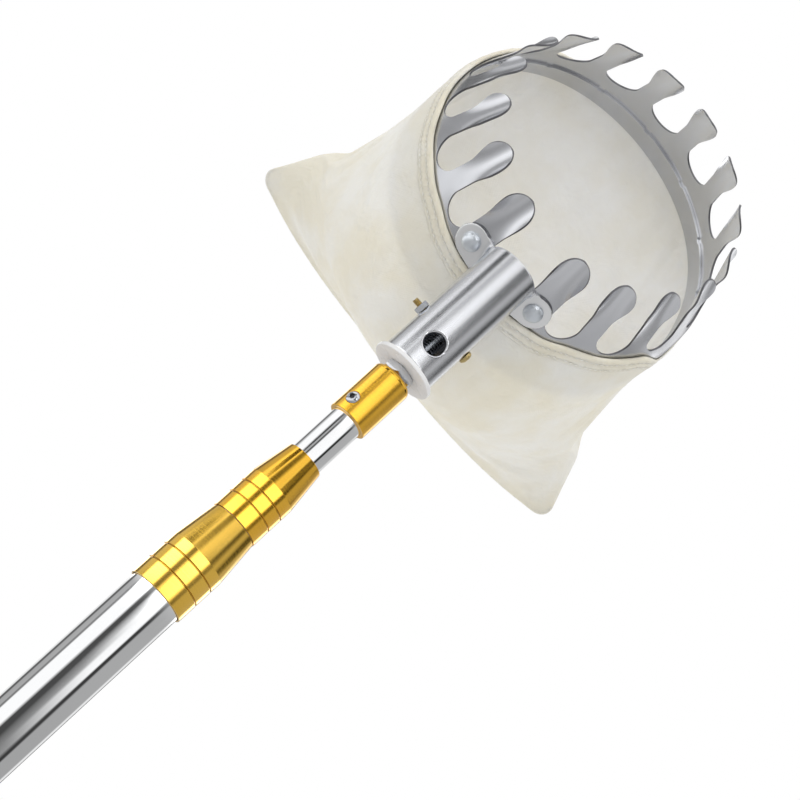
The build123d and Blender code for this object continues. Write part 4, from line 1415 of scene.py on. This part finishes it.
# Behind the pole, each height gets two more banks, a little darker than its brightest stop, and two flags.
card_points = []
card_glow = []
for z, front in card_rows:
    left, right = front[0][1], front[-1][1]
    bank = 0.8 * max(glow for _, glow in front)
    flag = 0.3 * min(left, right)
    stops = [(-180, left), (-172, bank), (-152, bank), (-144, flag), (-132, flag), (-126, left), *front[1:-1]]
    stops += [(126, right), (134, bank), (150, bank), (157, flag), (170, flag), (180, left)]
    for angle in [360.0 * k / card_steps - 180.0 for k in range(card_steps)]:
        card_points.append(round_pole(angle, card_reach, z))
        card_glow.append(float(np.interp(angle, *zip(*stops))))
card_faces = grid_faces(len(card_rows), card_steps, closed=True)

# The same on a card over the floor, by the way across in metres; the fingers' outsides look down on it.
floor_stops = [
    (-5, 0.7), (-1.9, 1.2), (-1.3, 1.25), (-0.85, 0.65), (-0.5, 0.42), (-0.3, 0.38), (-0.15, 0.5), (0, 0.54),
    (0.14, 0.46), (0.3, 0.5), (0.5, 0.62), (1.0, 0.58), (1.8, 0.62), (2.4, 0.62), (5, 0.55),
]
card_faces += grid_faces(2, len(floor_stops), first=len(card_points))
for y in (-card_reach, card_reach):
    card_points += [(x, y, floor_level + 0.3 * mm) for x, _ in floor_stops]
    card_glow += [glow for _, glow in floor_stops]

# Narrow dark flags close to the socket tube: middle and half width in degrees, and brightness.
flag_reach = 0.35
flag_heights = (0.805, 1.03)
for middle, half, level in ((-66, 11, 0.02), (29, 10, 0.15), (98, 10, 0.02)):
    card_faces += grid_faces(2, 3, first=len(card_points))
    for z in flag_heights:
        card_points += [round_pole(middle + side * half, flag_reach, z) for side in (-1, 0, 1)]
        card_glow += [level] * 3
card_mesh = bpy.data.meshes.new("reflection_cards")
card_mesh.from_pydata(card_points, [], card_faces)
card_paint = bpy.data.materials.new("card_glow")
card_paint.use_nodes = True
card_tree = card_paint.node_tree
card_tree.nodes.clear()
card_light = add_node(card_tree, "ShaderNodeEmission", {"Strength": painted(card_tree, "glow")})
add_node(card_tree, "ShaderNodeOutputMaterial", {"Surface": card_light.outputs[0]})
card_mesh.materials.append(card_paint)
cards = new_object("reflection_cards", card_mesh)
paint(cards, "glow", card_glow)
for ray in ("camera", "diffuse", "transmission", "shadow"):
    setattr(cards, "visible_" + ray, False)

world = bpy.data.worlds.new("studio")
bpy.context.scene.world = world
world.use_nodes = True
world_tree = world.node_tree
world_tree.nodes.clear()
rays = add_node(world_tree, "ShaderNodeLightPath").outputs
seen = computed(world_tree, "MAXIMUM", rays["Is Camera Ray"], rays["Is Glossy Ray"])
seen = computed(world_tree, "MAXIMUM", seen, rays["Is Transmission Ray"])
world_soft = add_node(world_tree, "ShaderNodeBackground", {"Color": white, "Strength": 0.81})
world_white = add_node(world_tree, "ShaderNodeBackground", {"Color": white, "Strength": 1.0})
links = {0: seen, 1: world_soft.outputs[0], 2: world_white.outputs[0]}
world_mix = add_node(world_tree, "ShaderNodeMixShader", links)
add_node(world_tree, "ShaderNodeOutputWorld", {"Surface": world_mix.outputs[0]})

for name, place, power, size in (
    ("key_lamp", (-0.9, -1.2, 1.9), 9.0, 1.0),
    ("fill_lamp", (0.4, -1.1, 2.0), 6.2, 1.2),
    ("back_lamp", (0.3, 1.6, 1.6), 7.0, 1.2),
):
    light = bpy.data.lights.new(name, "AREA")
    light.energy = power
    light.size = size
    lamp = new_object(name, light)
    lamp.matrix_world = aim(Vector(place) - crown_centre, place)
    lamp.visible_glossy = False

# Camera at the photograph's angle, rolled so that the pole rises from lower left.
camera_right = Vector((0.6559, -0.2923, 0.6959))
camera_up = Vector((-0.7511, -0.1613, 0.6402))
camera_axes = Matrix((camera_right, camera_up, camera_right.cross(camera_up))).transposed()
camera_data = bpy.data.cameras.new("camera")
camera_data.lens = 99.0
camera_data.sensor_width = 36.0
camera_data.clip_start = 0.01
camera = new_object("camera", camera_data)
camera.matrix_world = Matrix.Translation((-0.0596, -0.8537, 0.3835)) @ camera_axes.to_4x4()
bpy.context.scene.camera = camera
bpy.context.scene.view_settings.view_transform = "Standard"
